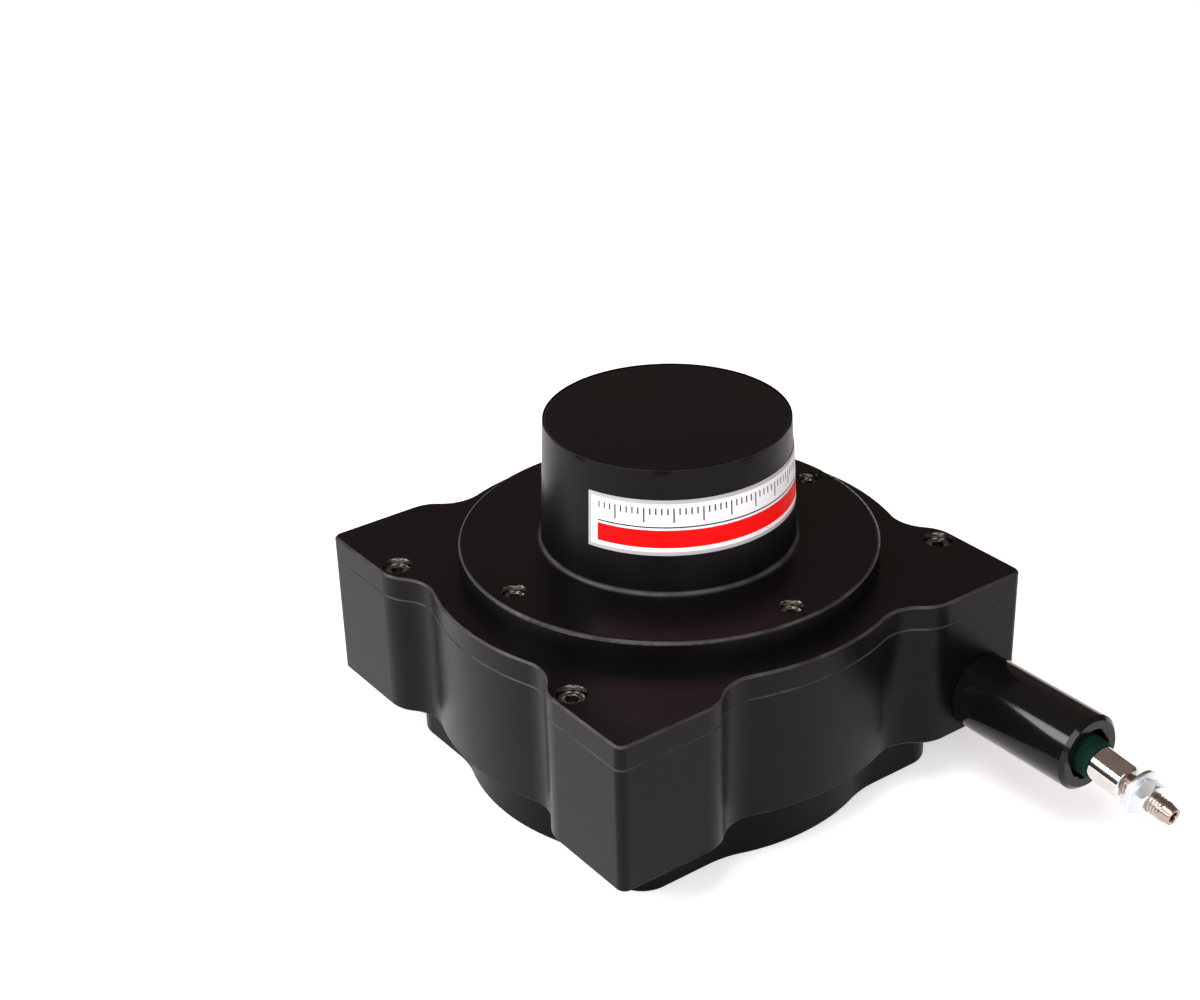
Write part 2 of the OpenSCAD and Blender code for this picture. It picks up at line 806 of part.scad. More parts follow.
module wire_wiper()
  color("#6b5d4f")
    at_tube() translate([0, 0, throat_z - wiper_len])
      ring(bore_r - fixed_gap, wire_r + guide_gap, wiper_len);

// ---------- encoder unit ----------

hub_r_small = 7.5;
hub_r_large = 11.5;
hub_flange_t = 1.2;
spigot_disc_r = 9;
opening_r = hub_r_large + 0.5;
disc_screw_r = 7;
disc_screw_len = clamp_t + 3;
head_inner_r = hub_r_large + 1.5;
head_outer_r = base_r - 1.5;
head_w = 13;
// a corner and the three sides of each chip; those near the rim keep their distance from it
chips = [[-4.5, -9, 9, 9, 1.4], [7, -3, 5, 6, 1.6], [8.2 - board_r, 11.2 - board_r, 6, 5, 1.2]];
// middle, radius and height
capacitor = [8, 9.2 - board_r, 3, 5.4];
header_x = 8;
header_t = 5;
header_w = 10;
ribbon_w = 8;
insert_back = 3;
pin_back = 3.2;
board_flat_x = nut_seat_x - pin_back - free_gap;
header_h = 4;

module encoder_base()
  color("#a9abad")
    difference() {
      translate([0, 0, base_z]) cylinder(r = base_r, h = base_t);
      translate([0, 0, base_z - e]) cylinder(r = opening_r, h = base_t + 2 * e);
      at_base_screws() screw_hole(m3, base_t - base_recess, 0, base_recess);
    }

module encoder_base_screws()
  color("#b9bbbd")
    at_base_screws() socket_screw(m3, base_t - base_recess + plate_t - 1.5);

module disc_hub()
  color("#b9bbbd")
    difference() {
      union() {
        translate([0, 0, disc_hub_z]) cylinder(r = hub_r_small, h = disc_z - disc_hub_z);
        translate([0, 0, disc_z - hub_flange_t]) cylinder(r = hub_r_large, h = hub_flange_t);
        translate([0, 0, disc_z - e]) cylinder(r = spigot_disc_r, h = disc_t + e);
      }
      translate([0, 0, disc_hub_z - e]) cylinder(r = shaft_r + fixed_gap, h = clamp_z - disc_hub_z + 2 * e);
      for (a = thirds)
        rotate(a) translate([disc_screw_r, 0, clamp_z + clamp_t - disc_screw_len - 0.5])
          cylinder(d = m2[0] + 2 * thread_gap, h = disc_screw_len);
      at_set_screw() cylinder(d = m3[0] + 2 * thread_gap, h = 2 * hub_r_small);
    }

module code_disc()
  color("#cfd6d8")
    translate([0, 0, disc_z]) ring(disc_r, spigot_disc_r + fixed_gap, disc_t);

module disc_clamp()
  color("#b9bbbd")
    translate([0, 0, clamp_z]) difference() {
      ring(hub_r_large, shaft_r + 0.8, clamp_t);
      for (a = thirds)
        rotate(a) translate([disc_screw_r, 0, -e]) cylinder(d = m2[0] + 2 * hole_gap, h = clamp_t + 2 * e);
    }

// The set screw that holds the hub on the shaft lies along -X
module at_set_screw()
  translate([0, 0, disc_hub_z + 2.2]) rotate([0, -90, 0])
    children();

module disc_screws()
  color("#8f9194") {
    for (a = thirds)
      rotate(a) translate([disc_screw_r, 0, clamp_z + clamp_t]) socket_screw(m2, disc_screw_len);
    at_set_screw() translate([0, 0, shaft_r]) cylinder(d = m3[0], h = hub_r_small - shaft_r - 0.3);
  }

// Optical head that reaches over the disc's edge
module read_head()
  color("#1f2226")
    difference() {
      translate([head_inner_r, -head_w / 2, base_top_z])
        cube([head_outer_r - head_inner_r, head_w, board_rise - free_gap]);
      translate([head_inner_r - e, -head_w / 2 - e, disc_z - free_gap])
        cube([disc_r + free_gap - head_inner_r + e, head_w + 2 * e, disc_t + 2 * free_gap]);
    }

module board_spacers()
  color("#c8ab5a")
    at_spacers() translate([0, 0, base_top_z])
      cylinder(d = spacer_af / cos(30), h = board_rise, $fn = 6);

// Round board with a flat behind the connector
module circuit_board()
  color("#1d5a35")
    difference() {
      translate([0, 0, board_z]) cylinder(r = board_r, h = board_t);
      rotate(connector_angle) translate([board_flat_x, -board_r, board_z - e])
        cube([board_r, 2 * board_r, board_t + 2 * e]);
      at_spacers() translate([0, 0, board_z - e]) cylinder(d = m2[0] + 2 * hole_gap, h = board_t + 2 * e);
    }

// Chips, a capacitor and the header for the ribbon
module board_parts()
  color("#26282b")
    translate([0, 0, board_z + board_t]) {
      for (c = chips)
        translate([c[0], c[1], 0]) cube([c[2], c[3], c[4]]);
      translate([capacitor[0], capacitor[1], 0]) cylinder(r = capacitor[2], h = capacitor[3]);
      rotate(connector_angle) translate([header_x, -header_w / 2, 0]) cube([header_t, header_w, header_h]);
    }

module board_screws()
  color("#b9bbbd")
    at_spacers() translate([0, 0, board_z + board_t]) rotate_extrude()
      polygon([[0, 0], [2, 0], [2, 1], [1.5, 1.5], [0, 1.5]]);

// ---------- connector ----------

shell_bore_r = connector_d / 2 - 1.1;
hex_t = 2;
thread_len = 9;
connector_end = pad_x + hex_t + thread_len;
pin_circle_r = 2.9;
contact_r = 0.5;
connector_cord_r = 0.4;
connector_seal_r = connector_hole_r + 0.75;

module connector_shell()
  color("#c9c6bd")
    at_connector() difference() {
      union() {
        translate([0, 0, nut_seat_x - insert_back])
          cylinder(r = connector_hole_r - fixed_gap, h = pad_x - nut_seat_x + insert_back + 0.5);
        translate([0, 0, pad_x]) cylinder(d = connector_af / cos(30), h = hex_t, $fn = 6);
        translate([0, 0, pad_x + 0.5]) post(connector_d / 2, connector_end - pad_x - 0.5, 0, 0.5);
      }
      translate([0, 0, nut_seat_x - insert_back - e])
        cylinder(r = shell_bore_r, h = connector_end - nut_seat_x + insert_back + 2 * e);
      translate([0, 0, pad_x]) seal_groove(connector_seal_r, connector_cord_r);
    }

module connector_seal()
  color("#1b1b1b")
    at_connector() translate([0, 0, pad_x + connector_cord_r]) o_ring(connector_seal_r, connector_cord_r);

module connector_nut()
  color("#c9c6bd")
    at_connector() translate([0, 0, nut_seat_x - nut_ring_t])
      ring(nut_ring_r, connector_hole_r + thread_gap, nut_ring_t);

module connector_insert()
  color("#1a1a1c")
    at_connector() difference() {
      translate([0, 0, nut_seat_x - insert_back])
        cylinder(r = shell_bore_r - fixed_gap, h = pad_x + hex_t - nut_seat_x + insert_back);
      at_pins() translate([0, 0, nut_seat_x - insert_back - e])
        cylinder(r = contact_r + fixed_gap, h = connector_end - nut_seat_x + insert_back);
    }

module at_pins() {
  children();
  for (a = [45, 135, 225, 315])
    rotate(a) translate([pin_circle_r, 0, 0])
      children();
}

module connector_pins()
  color("#d9b648")
    at_connector() at_pins() translate([0, 0, nut_seat_x - pin_back])
      cylinder(r = contact_r, h = connector_end - 2 - nut_seat_x + pin_back);

// Flat ribbon from the back of the insert to the header on the board
module lead_ribbon()
  color("#8f9296")
    at_connector() translate([-0.5, -ribbon_w / 2, header_x + header_t])
      cube([1, ribbon_w, nut_seat_x - pin_back - header_x - header_t]);

// ---------- drum and shaft ----------

key_w = 3;
key_depth = 1.6;
key_h = 2.9;
rib_t = 2.5;
anchor_screw_len = 5;
spacer_t = 1.6;
clip_depth = 0.4;
clip_edge = 1.4;
anchor_screw_r = drum_r - rim_t / 2 - 0.5;
clip_t = 0.8;
lower_clip_z = lower_bearing_z - clip_t - 0.1;
upper_clip_z = plate_z + 0.1;

module cable_drum()
  color("#9ea1a5")
    difference() {
      union() {
        translate([0, 0, drum_z]) ring(drum_r, drum_r - rim_t, web_z - drum_z + web_t);
        translate([0, 0, drum_z]) ring(drum_flange_r, drum_r - 1, drum_flange_t);
        translate([0, 0, web_z - drum_flange_t]) ring(drum_flange_r, drum_r - 1, drum_flange_t);
        difference() {
          translate([0, 0, web_z]) cylinder(r = drum_r - 1, h = web_t);
          for (k = [1 : web_holes])
            rotate(360 * k / web_holes) translate([(hub_r + drum_r - rim_t) / 2, 0, web_z - e])
              cylinder(r = web_hole_r, h = web_t + 2 * e);
        }
        translate([0, 0, hub_z]) cylinder(r = hub_r, h = hub_top_z - hub_z);
        for (k = [1 : web_holes])
          rotate(360 * (k + 0.5) / web_holes) translate([hub_r - 1, -rib_t / 2, hub_z])
            cube([drum_r - rim_t / 2 - hub_r + 1, rib_t, web_z - hub_z + e]);
      }
      translate([0, 0, hub_z - e]) cylinder(r = shaft_r + fixed_gap, h = hub_top_z - hub_z + 2 * e);
      translate([0, -key_w / 2 - fixed_gap, hub_z - e])
        cube([shaft_r - key_depth + key_h + 0.1, key_w + 2 * fixed_gap, hub_top_z - hub_z + 2 * e]);
      translate([anchor_screw_r, 0, web_z + web_t - anchor_screw_len - 1])
        cylinder(d = m2[0] + 2 * thread_gap, h = anchor_screw_len + 1 + e);
    }

module drum_shaft()
  color("#b4b7ba")
    difference() {
      translate([0, 0, spring_z]) post(shaft_r, shaft_end_z - spring_z, 0.5, 0.5);
      translate([shaft_r - key_depth, -key_w / 2 - fixed_gap, hub_z])
        cube([key_h, key_w + 2 * fixed_gap, hub_top_z - hub_z]);
      for (z = [lower_clip_z, upper_clip_z])
        translate([0, 0, z - fixed_gap]) ring(shaft_r + 1, shaft_r - clip_depth, clip_t + 2 * fixed_gap);
      translate([0, 0, spring_z + spring_w / 2]) rotate([90, 0, 0])
        cylinder(r = pin_r + fixed_gap, h = 3 * shaft_r, center = true);
    }

module drum_key()
  color("#9a9da1")
    translate([shaft_r - key_depth, -key_w / 2, hub_z + 1]) cube([key_h, key_w, hub_top_z - hub_z - 2]);

// Rings that hold the drum's hub between the two bearings
module shaft_spacers()
  color("#8f9296") {
    translate([0, 0, lower_bearing_z + bearing_w])
      ring(shaft_r + spacer_t, shaft_r + fixed_gap, hub_z - lower_bearing_z - bearing_w);
    translate([0, 0, hub_top_z]) ring(shaft_r + spacer_t, shaft_r + fixed_gap, upper_bearing_z - hub_top_z);
  }

module retaining_rings()
  color("#5b5d60")
    for (z = [lower_clip_z, upper_clip_z])
      translate([0, 0, z]) difference() {
        ring(shaft_r + clip_edge, shaft_r - clip_depth + fixed_gap, clip_t);
        translate([0, -key_w / 2, -e]) cube([2 * shaft_r, key_w, clip_t + 2 * e]);
      }

// The wire's turns, side by side on the drum
module wire_winding()
  color("#8f9296")
    rotate_extrude()
      for (k = [0 : turns - 1])
        translate([tangent_y, first_turn_z + k * turn_pitch]) circle(wire_r);

module wire_anchor_screw()
  color("#b9bbbd")
    translate([anchor_screw_r, 0, web_z + web_t]) socket_screw(m2, anchor_screw_len);

// ---------- wire and its end fitting ----------

bumper_r = bumper_d / 2;
// middle of the bumper's round back, along the tube
pivot = mouth_z + sqrt((bumper_r + soft_gap) ^ 2 - (throat_d / 2) ^ 2);
sleeve_r = sleeve_d / 2;
stud_r = stud_d / 2;
stud_in = 6;
tip_len = 2.5;
tip_drop = 0.45;
socket_af = 2.5;
socket_depth = 2.8;
relief_t = 0.7;
relief_depth = 0.4;
nut_z = sleeve_len + nut_gap;
ferrule_r = 1.5;
ferrule_len = 2.9;

// Along the drooping fitting, from the bumper's round back
module at_fitting()
  at_tube() translate([0, 0, pivot]) rotate([0, droop, 0])
    children();

module stop_bumper()
  color("#0f4a30")
    at_fitting() difference() {
      union() {
        sphere(bumper_r);
        cylinder(r = bumper_r, h = bumper_len - 0.5);
        translate([0, 0, bumper_len - 0.5]) cylinder(r1 = bumper_r, r2 = bumper_r - 0.5, h = 0.5);
      }
      translate([0, 0, -0.2]) cylinder(r = wire_r + fixed_gap, h = bumper_len + 1);
      translate([0, 0, -bumper_r - e]) cylinder(r1 = wire_r + 1.3, r2 = wire_r + fixed_gap, h = bumper_r + e);
    }

module end_sleeve()
  color("#d9dbde")
    at_fitting() translate([0, 0, bumper_len]) difference() {
      post(sleeve_r, sleeve_len, 0.3, 0.6);
      translate([0, 0, -e]) cylinder(r = ferrule_r + fixed_gap, h = sleeve_len);
      translate([0, 0, sleeve_len - stud_in]) cylinder(r = stud_r + thread_gap, h = stud_in + e);
    }

module wire_ferrule()
  color("#b9bbbd")
    at_fitting() translate([0, 0, bumper_len]) ring(ferrule_r, wire_r + fixed_gap, ferrule_len);

// Stud with a hexagon socket in its tapered end and a relief groove outside the nut
module end_stud()
  color("#b09a86")
    at_fitting() translate([0, 0, bumper_len + sleeve_len]) difference() {
      union() {
        translate([0, 0, -stud_in]) cylinder(r = stud_r, h = stud_in + stud_out - tip_len);
        translate([0, 0, stud_out - tip_len]) cylinder(r1 = stud_r, r2 = stud_r - tip_drop, h = tip_len);
      }
      translate([0, 0, stud_out - socket_depth])
        cylinder(d = socket_af / cos(30), h = socket_depth + e, $fn = 6);
      translate([0, 0, nut_gap + nut_h]) ring(stud_r + 1, stud_r - relief_depth, relief_t);
    }

module flange_nut() {
  nut_r = nut_af / cos(30) / 2;
  flange_h = 1;
  slope_h = 0.7;
  color("#cdd6da")
    at_fitting() translate([0, 0, bumper_len + nut_z]) difference() {
      union() {
        post(nut_flange_d / 2, flange_h, 0.2, 0.2);
        translate([0, 0, flange_h - 0.1])
          cylinder(r1 = nut_flange_d / 2 - 0.5, r2 = nut_af / 2, h = slope_h);
        intersection() {
          translate([0, 0, flange_h / 2]) cylinder(r = nut_r, h = nut_h - flange_h / 2, $fn = 6);
          post(nut_r, nut_h, hair, 0.6);
        }
      }
      translate([0, 0, -e]) cylinder(r = stud_r + thread_gap, h = nut_h + 2 * e);
    }
}

// The straight wire: from the drum to its guide, along the tube, and into the ferrule.
// Its two slanting ends are a hair thinner than the middle that they run into.
module draw_wire() {
  guide_x = body_side / 2 - spigot_len;
  climb = atan((wire_z - first_turn_z) / guide_x);
  into = 5 * hair;
  color("#a7aaad") {
    at_tube() translate([0, 0, -spigot_len]) rotate([0, climb, 0])
      translate([0, 0, wire_start - guide_x])
        cylinder(r = wire_r - 2 * hair, h = guide_x - wire_start + into);
    at_tube() translate([0, 0, -spigot_len - into]) cylinder(r = wire_r, h = spigot_len + pivot + 2 * into);
    at_fitting() translate([0, 0, -into / 2])
      cylinder(r = wire_r - 2 * hair, h = bumper_len + ferrule_len + into / 2);
  }
}

spring_case();
spring_case_screws();
spring_case_seal();
mainspring();
spring_anchor();
drum_housing();
bearing_outer_rings();
bearing_balls();
bearing_cages();
shaft_seals();
top_plate();
top_plate_screws();
plate_seal();
encoder_hood();
hood_screws();
hood_seal();
label_plate();
outlet_tube();
outlet_seal();
guide_bush();
guide_spacer();
wire_wiper();
encoder_base();
encoder_base_screws();
read_head();
board_spacers();
circuit_board();
board_parts();
board_screws();
connector_shell();
connector_insert();
connector_pins();
connector_seal();
connector_nut();
lead_ribbon();
cable_drum();
drum_shaft();
drum_key();
bearing_inner_rings();
shaft_spacers();
retaining_rings();
wire_winding();
wire_anchor_screw();
spring_arbor();
arbor_pin();
disc_hub();
code_disc();
disc_clamp();
disc_screws();
draw_wire();
stop_bumper();
end_sleeve();
wire_ferrule();
end_stud();
flange_nut();
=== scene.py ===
import json
import math

import bmesh
import bpy
from mathutils import Matrix, Vector


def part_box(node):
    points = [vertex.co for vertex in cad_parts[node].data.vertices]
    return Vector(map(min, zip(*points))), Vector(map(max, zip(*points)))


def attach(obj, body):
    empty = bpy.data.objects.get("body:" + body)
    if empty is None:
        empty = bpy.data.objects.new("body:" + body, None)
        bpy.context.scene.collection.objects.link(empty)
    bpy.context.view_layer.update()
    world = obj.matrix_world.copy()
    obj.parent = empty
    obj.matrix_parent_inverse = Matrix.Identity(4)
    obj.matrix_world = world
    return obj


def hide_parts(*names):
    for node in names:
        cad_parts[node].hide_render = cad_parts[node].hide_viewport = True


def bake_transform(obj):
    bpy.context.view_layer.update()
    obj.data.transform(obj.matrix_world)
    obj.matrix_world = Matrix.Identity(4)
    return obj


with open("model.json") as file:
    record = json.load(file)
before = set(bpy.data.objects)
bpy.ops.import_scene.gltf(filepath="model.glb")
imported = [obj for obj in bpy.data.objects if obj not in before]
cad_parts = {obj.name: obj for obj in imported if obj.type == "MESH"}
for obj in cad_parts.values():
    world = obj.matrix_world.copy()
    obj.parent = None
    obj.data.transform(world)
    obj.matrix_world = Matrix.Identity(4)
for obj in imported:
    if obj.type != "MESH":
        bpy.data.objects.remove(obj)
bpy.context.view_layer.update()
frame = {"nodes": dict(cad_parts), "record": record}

MM = 0.001
HOUSING, WIRE_END = "housing", "wire_end"
mounts = {m["name"]: m for m in frame["record"]["mounts"]}


# ---------------------------------------------------------------- places taken from the frame

tube_low, tube_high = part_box("outlet_tube")
wire_y = (tube_low.y + tube_high.y) / 2
wire_z = (tube_low.z + tube_high.z) / 2
plate_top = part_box("encoder_hood")[0].z
label_low, label_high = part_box("label_plate")
stud_axis = Vector(mounts["wire_stud"]["axis"])
stud_middle = Vector(mounts["wire_stud"]["pos_m"])
connector_axis = Vector(mounts["connector"]["axis"])
connector_middle = Vector(mounts["connector"]["pos_m"])


# ---------------------------------------------------------------- material helpers

BEVEL_SAMPLES = 4
# A colour Mix node takes its two colours and gives its result on these sockets.
MIX_FIRST, MIX_SECOND, MIX_RESULT = 6, 7, 2
# Cosine between the rounded and the true normal, on an edge and beside it.
EDGE_COSINES = (0.85, 0.995)
# Upward lean of a rounded rim's normal, and how far from it the rim still counts, for the painted rim
# highlight.
RIM_LEAN = 0.55
RIM_SPREAD = (0.12, 0.40)


class Shader:
    """A node material with one Principled shader, and short ways to wire it."""

    def __init__(self, name):
        self.material = bpy.data.materials.new(name)
        self.material.use_nodes = True
        self.nodes = self.material.node_tree.nodes
        self.links = self.material.node_tree.links
        self.nodes.clear()
        self.bsdf = self.nodes.new("ShaderNodeBsdfPrincipled")
        output = self.nodes.new("ShaderNodeOutputMaterial")
        self.link(self.bsdf.outputs[0], output.inputs["Surface"])
        self.coords = self.nodes.new("ShaderNodeTexCoord").outputs["Object"]
        self.normal = None

    def link(self, source, target):
        self.links.new(source, target)

    def fixed(self, **values):
        for key, value in values.items():
            self.bsdf.inputs[key.replace("_", " ")].default_value = value

    def noise(self, scale, detail=3.0, roughness=0.55, stretch=None):
        node = self.nodes.new("ShaderNodeTexNoise")
        node.inputs["Scale"].default_value = scale
        node.inputs["Detail"].default_value = detail
        node.inputs["Roughness"].default_value = roughness
        source = self.coords
        if stretch:
            mapping = self.nodes.new("ShaderNodeMapping")
            mapping.inputs["Scale"].default_value = stretch
            self.link(source, mapping.inputs["Vector"])
            source = mapping.outputs["Vector"]
        self.link(source, node.inputs["Vector"])
        return node.outputs["Fac"]

    def ranged(self, source, low, high, from_low=0.3, from_high=0.7):
        node = self.nodes.new("ShaderNodeMapRange")
        node.inputs["From Min"].default_value = from_low
        node.inputs["From Max"].default_value = from_high
        node.inputs["To Min"].default_value = low
        node.inputs["To Max"].default_value = high
        self.link(source, node.inputs["Value"])
        return node.outputs["Result"]

    def mixed(self, factor, first, second):
        node = self.nodes.new("ShaderNodeMix")
        node.data_type = "RGBA"
        for socket, value in ((MIX_FIRST, first), (MIX_SECOND, second)):
            if isinstance(value, bpy.types.NodeSocket):
                self.link(value, node.inputs[socket])
            else:
                node.inputs[socket].default_value = (*value, 1.0)
        self.link(factor, node.inputs[0])
        return node.outputs[MIX_RESULT]

    def math(self, operation, first, second=None):
        node = self.nodes.new("ShaderNodeMath")
        node.operation = operation
        for index, value in enumerate((first, second)):
            if value is None:
                continue
            if isinstance(value, bpy.types.NodeSocket):
                self.link(value, node.inputs[index])
            else:
                node.inputs[index].default_value = value
        return node.outputs[0]

    def length(self, x, y):
        return self.math("SQRT", self.math("ADD", self.math("MULTIPLY", x, x), self.math("MULTIPLY", y, y)))

    def between(self, value, low, high):
        """1 where value lies between low and high, else 0."""
        above = self.math("GREATER_THAN", value, low)
        return self.math("MULTIPLY", above, self.math("LESS_THAN", value, high))

    def colour(self, source):
        self.link(source, self.bsdf.inputs["Base Color"])

    def clouded(self, scale, detail, dark, light):
        """Base colour that drifts softly between dark and light. Returns its noise."""
        cloud = self.noise(scale, detail)
        self.colour(self.mixed(self.ranged(cloud, 0.0, 1.0), dark, light))
        return cloud

    def roughness(self, source):
        self.link(source, self.bsdf.inputs["Roughness"])

    def bump(self, height, distance, strength=1.0):
        node = self.nodes.new("ShaderNodeBump")
        node.inputs["Strength"].default_value = strength
        node.inputs["Distance"].default_value = distance
        self.link(height, node.inputs["Height"])
        if self.normal is not None:
            self.link(self.normal, node.inputs["Normal"])
        self.normal = node.outputs["Normal"]
        self.link(self.normal, self.bsdf.inputs["Normal"])

    def soft_edges(self, radius):
        node = self.nodes.new("ShaderNodeBevel")
        node.samples = BEVEL_SAMPLES
        node.inputs["Radius"].default_value = radius
        self.normal = node.outputs["Normal"]
        self.link(self.normal, self.bsdf.inputs["Normal"])

    def edge_mask(self, radius):
        """1 on sharp edges, 0 on open faces."""
        bevel = self.nodes.new("ShaderNodeBevel")
        bevel.samples = BEVEL_SAMPLES
        bevel.inputs["Radius"].default_value = radius
        geometry = self.nodes.new("ShaderNodeNewGeometry")
        dot = self.nodes.new("ShaderNodeVectorMath")
        dot.operation = "DOT_PRODUCT"
        self.link(bevel.outputs["Normal"], dot.inputs[0])
        self.link(geometry.outputs["Normal"], dot.inputs[1])
        return self.ranged(dot.outputs["Value"], 1.0, 0.0, *EDGE_COSINES)

    def rim_highlight_mask(self):
        """1 where the surface leans outwards and up, as on a rounded rim, 0 on walls and flat tops; it places
        the painted rim highlight.
        """
        geometry = self.nodes.new("ShaderNodeNewGeometry")
        split = self.nodes.new("ShaderNodeSeparateXYZ")
        self.link(geometry.outputs["Normal"], split.inputs[0])
        off = self.math("ABSOLUTE", self.math("SUBTRACT", split.outputs["Z"], RIM_LEAN))
        return self.ranged(off, 1.0, 0.0, *RIM_SPREAD)

    def axis_parts(self):
        node = self.nodes.new("ShaderNodeSeparateXYZ")
        self.link(self.coords, node.inputs[0])
        return node.outputs


def grey(value):
    return (value, value, value)


ANODISED_SPECULAR = 0.125
ANODISED_TINT = (0.93, 0.88, 1.0, 1.0)
ANODISED_TONES = ((0.0022, 0.0018, 0.0020), (0.0034, 0.0028, 0.0031))
ANODISED_ROUGH = (0.31, 0.37)
GRAIN_ROUGH = 0.03
GRAIN_DEPTH = 0.010 * MM
# Lighter colour on sharp edges: partly wear, partly a painted highlight along the edges and the seam.
WORN_EDGE_AND_HIGHLIGHT = (0.15, 0.145, 0.15)
WORN_AND_HIGHLIGHT_WIDTH = 0.3 * MM
# Painted highlight: colour laid on rims that lean up and out, where a lamp from above would catch them.
PAINTED_RIM_HIGHLIGHT = (0.058, 0.055, 0.058)
BARE_BORE = (0.55, 0.53, 0.50)
BARE_ROUGH = 0.18
# Painted shade: the spring case's colour and reflection are darkened to this share, for the shadow under the
# housing.
CASE_PAINTED_SHADE = 0.55
HEAD_R = {"top_plate_screws": 3.4 * MM, "hood_screws": 2.75 * MM}


# ---------------------------------------------------------------- materials

def first_screw(node):
    """Axis of the screw that lies furthest along +X, and +Y if there are two, from the group's box."""
    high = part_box(node)[1]
    head_r = HEAD_R[node]
    return high.x - head_r, (high.y - head_r if node == "top_plate_screws" else 0.0)


def anodised_black(name, soft=0.0, bores=(), painted_shade=1.0):
    """Satin black anodised aluminium over a fine blasted grain. The walls of the bores are bare. With soft,
    sharp edges get lighter patches, partly wear and partly painted highlight. Rims that lean up and out get a
    painted highlight. painted_shade darkens colour and reflection as painted shade.
    """
    s = Shader(name)
    s.fixed(IOR=1.5, Specular_IOR_Level=ANODISED_SPECULAR * painted_shade, Specular_Tint=ANODISED_TINT)
    if soft:
        s.soft_edges(soft)
    cloud = s.noise(38.0, 4.0)
    fine = s.noise(2600.0, 2.0)
    tones = [tuple(c * painted_shade for c in tone) for tone in ANODISED_TONES]
    base = s.mixed(s.ranged(cloud, 0.0, 1.0), *tones)
    if soft:
        # Sharp edges lightened in broken patches: partly wear, partly painted highlight.
        wear_and_highlight_patches = s.ranged(s.noise(260.0, 3.0), 0.08, 0.9, 0.45, 0.68)
        base = s.mixed(s.math("MULTIPLY", s.edge_mask(WORN_AND_HIGHLIGHT_WIDTH), wear_and_highlight_patches), base, WORN_EDGE_AND_HIGHLIGHT)
    # Painted highlight on rounded rims, broken into soft patches.
    rim_highlight_patches = s.ranged(s.noise(140.0, 3.0), 0.45, 1.0, 0.35, 0.65)
    base = s.mixed(s.math("MULTIPLY", s.rim_highlight_mask(), rim_highlight_patches), base, PAINTED_RIM_HIGHLIGHT)
    rough = s.math("ADD", s.ranged(cloud, *ANODISED_ROUGH), s.ranged(fine, -GRAIN_ROUGH, GRAIN_ROUGH))
    for places, radius, height in bores:
        bare = bore_mask(s, places, radius, height)
        base = s.mixed(bare, base, BARE_BORE)
        kept = s.math("MULTIPLY", rough, s.math("SUBTRACT", 1.0, bare))
        rough = s.math("ADD", kept, s.math("MULTIPLY", bare, BARE_ROUGH))
        s.link(bare, s.bsdf.inputs["Metallic"])
    s.colour(base)
    s.roughness(rough)
    s.bump(fine, GRAIN_DEPTH, 0.5)
    return s.material


def bore_mask(s, places, radius, height):
    """1 within radius of the mirrored places, between the two heights. A place is (|x|, |y|)."""
    x, y, z = s.axis_parts()
    near = None
    for px, py in places:
        dx = s.math("SUBTRACT", s.math("ABSOLUTE", x), px)
        dy = s.math("SUBTRACT", s.math("ABSOLUTE", y), py)
        inside = s.math("LESS_THAN", s.length(dx, dy), radius)
        near = inside if near is None else s.math("MAXIMUM", near, inside)
    return s.math("MULTIPLY", near, s.between(z, *height))


def gloss_black():
    """Turned and polished black: faint rings of turning round the tube's axis."""
    s = Shader("gloss_black")
    s.fixed(IOR=1.5, Specular_IOR_Level=0.21)
    rings = s.noise(900.0, 2.0, stretch=(1.0, 0.02, 0.02))
    cloud = s.clouded(60.0, 3.0, (0.0032, 0.0031, 0.0034), (0.0052, 0.0050, 0.0054))
    s.roughness(s.ranged(cloud, 0.10, 0.13))
    s.bump(rings, 0.004 * MM, 0.5)
    return s.material


STAIN = 0.78


def steel(name, colour, rough, brushed=(1.0, 1.0, 1.0), scale=900.0, depth=0.006):
    """Bare or plated metal with fine brushing and slight stains."""
    s = Shader(name)
    s.fixed(Metallic=1.0)
    s.soft_edges(0.12 * MM)
    cloud = s.clouded(150.0, 4.0, tuple(c * STAIN for c in colour), colour)
    grain = s.noise(scale, 3.0, stretch=brushed)
    s.roughness(s.math("ADD", s.ranged(grain, rough * 0.8, rough * 1.2), s.ranged(cloud, 0.0, rough * 0.25)))
    s.bump(grain, depth * MM, 0.5)
    return s.material


def chrome():
    """Bright plating, slightly uneven."""
    s = Shader("chrome")
    s.fixed(Metallic=1.0)
    s.soft_edges(0.15 * MM)
    s.clouded(200.0, 3.0, (0.60, 0.58, 0.57), (0.70, 0.68, 0.67))
    s.roughness(s.ranged(s.noise(1800.0, 2.0), 0.05, 0.10))
    s.bump(s.noise(500.0, 2.0), 0.003 * MM, 0.4)
    return s.material


def rubber(name, dark, light, rough=0.62, specular=0.4):
    """Dull moulded rubber."""
    s = Shader(name)
    s.fixed(Metallic=0.0, Specular_IOR_Level=specular)
    s.soft_edges(0.2 * MM)
    cloud = s.clouded(220.0, 4.0, dark, light)
    s.roughness(s.ranged(cloud, rough - 0.06, rough + 0.08))
    s.bump(s.noise(1400.0, 3.0), 0.015 * MM, 0.5)
    return s.material


def plastic(name, dark, light, rough):
    """Moulded plastic with a fine grain."""
    s = Shader(name)
    s.fixed(Metallic=0.0, Specular_IOR_Level=0.5)
    s.soft_edges(0.15 * MM)
    cloud = s.clouded(120.0, 3.0, dark, light)
    s.roughness(s.ranged(cloud, rough - 0.04, rough + 0.05))
    s.bump(s.noise(1800.0, 2.0), 0.008 * MM, 0.4)
    return s.material


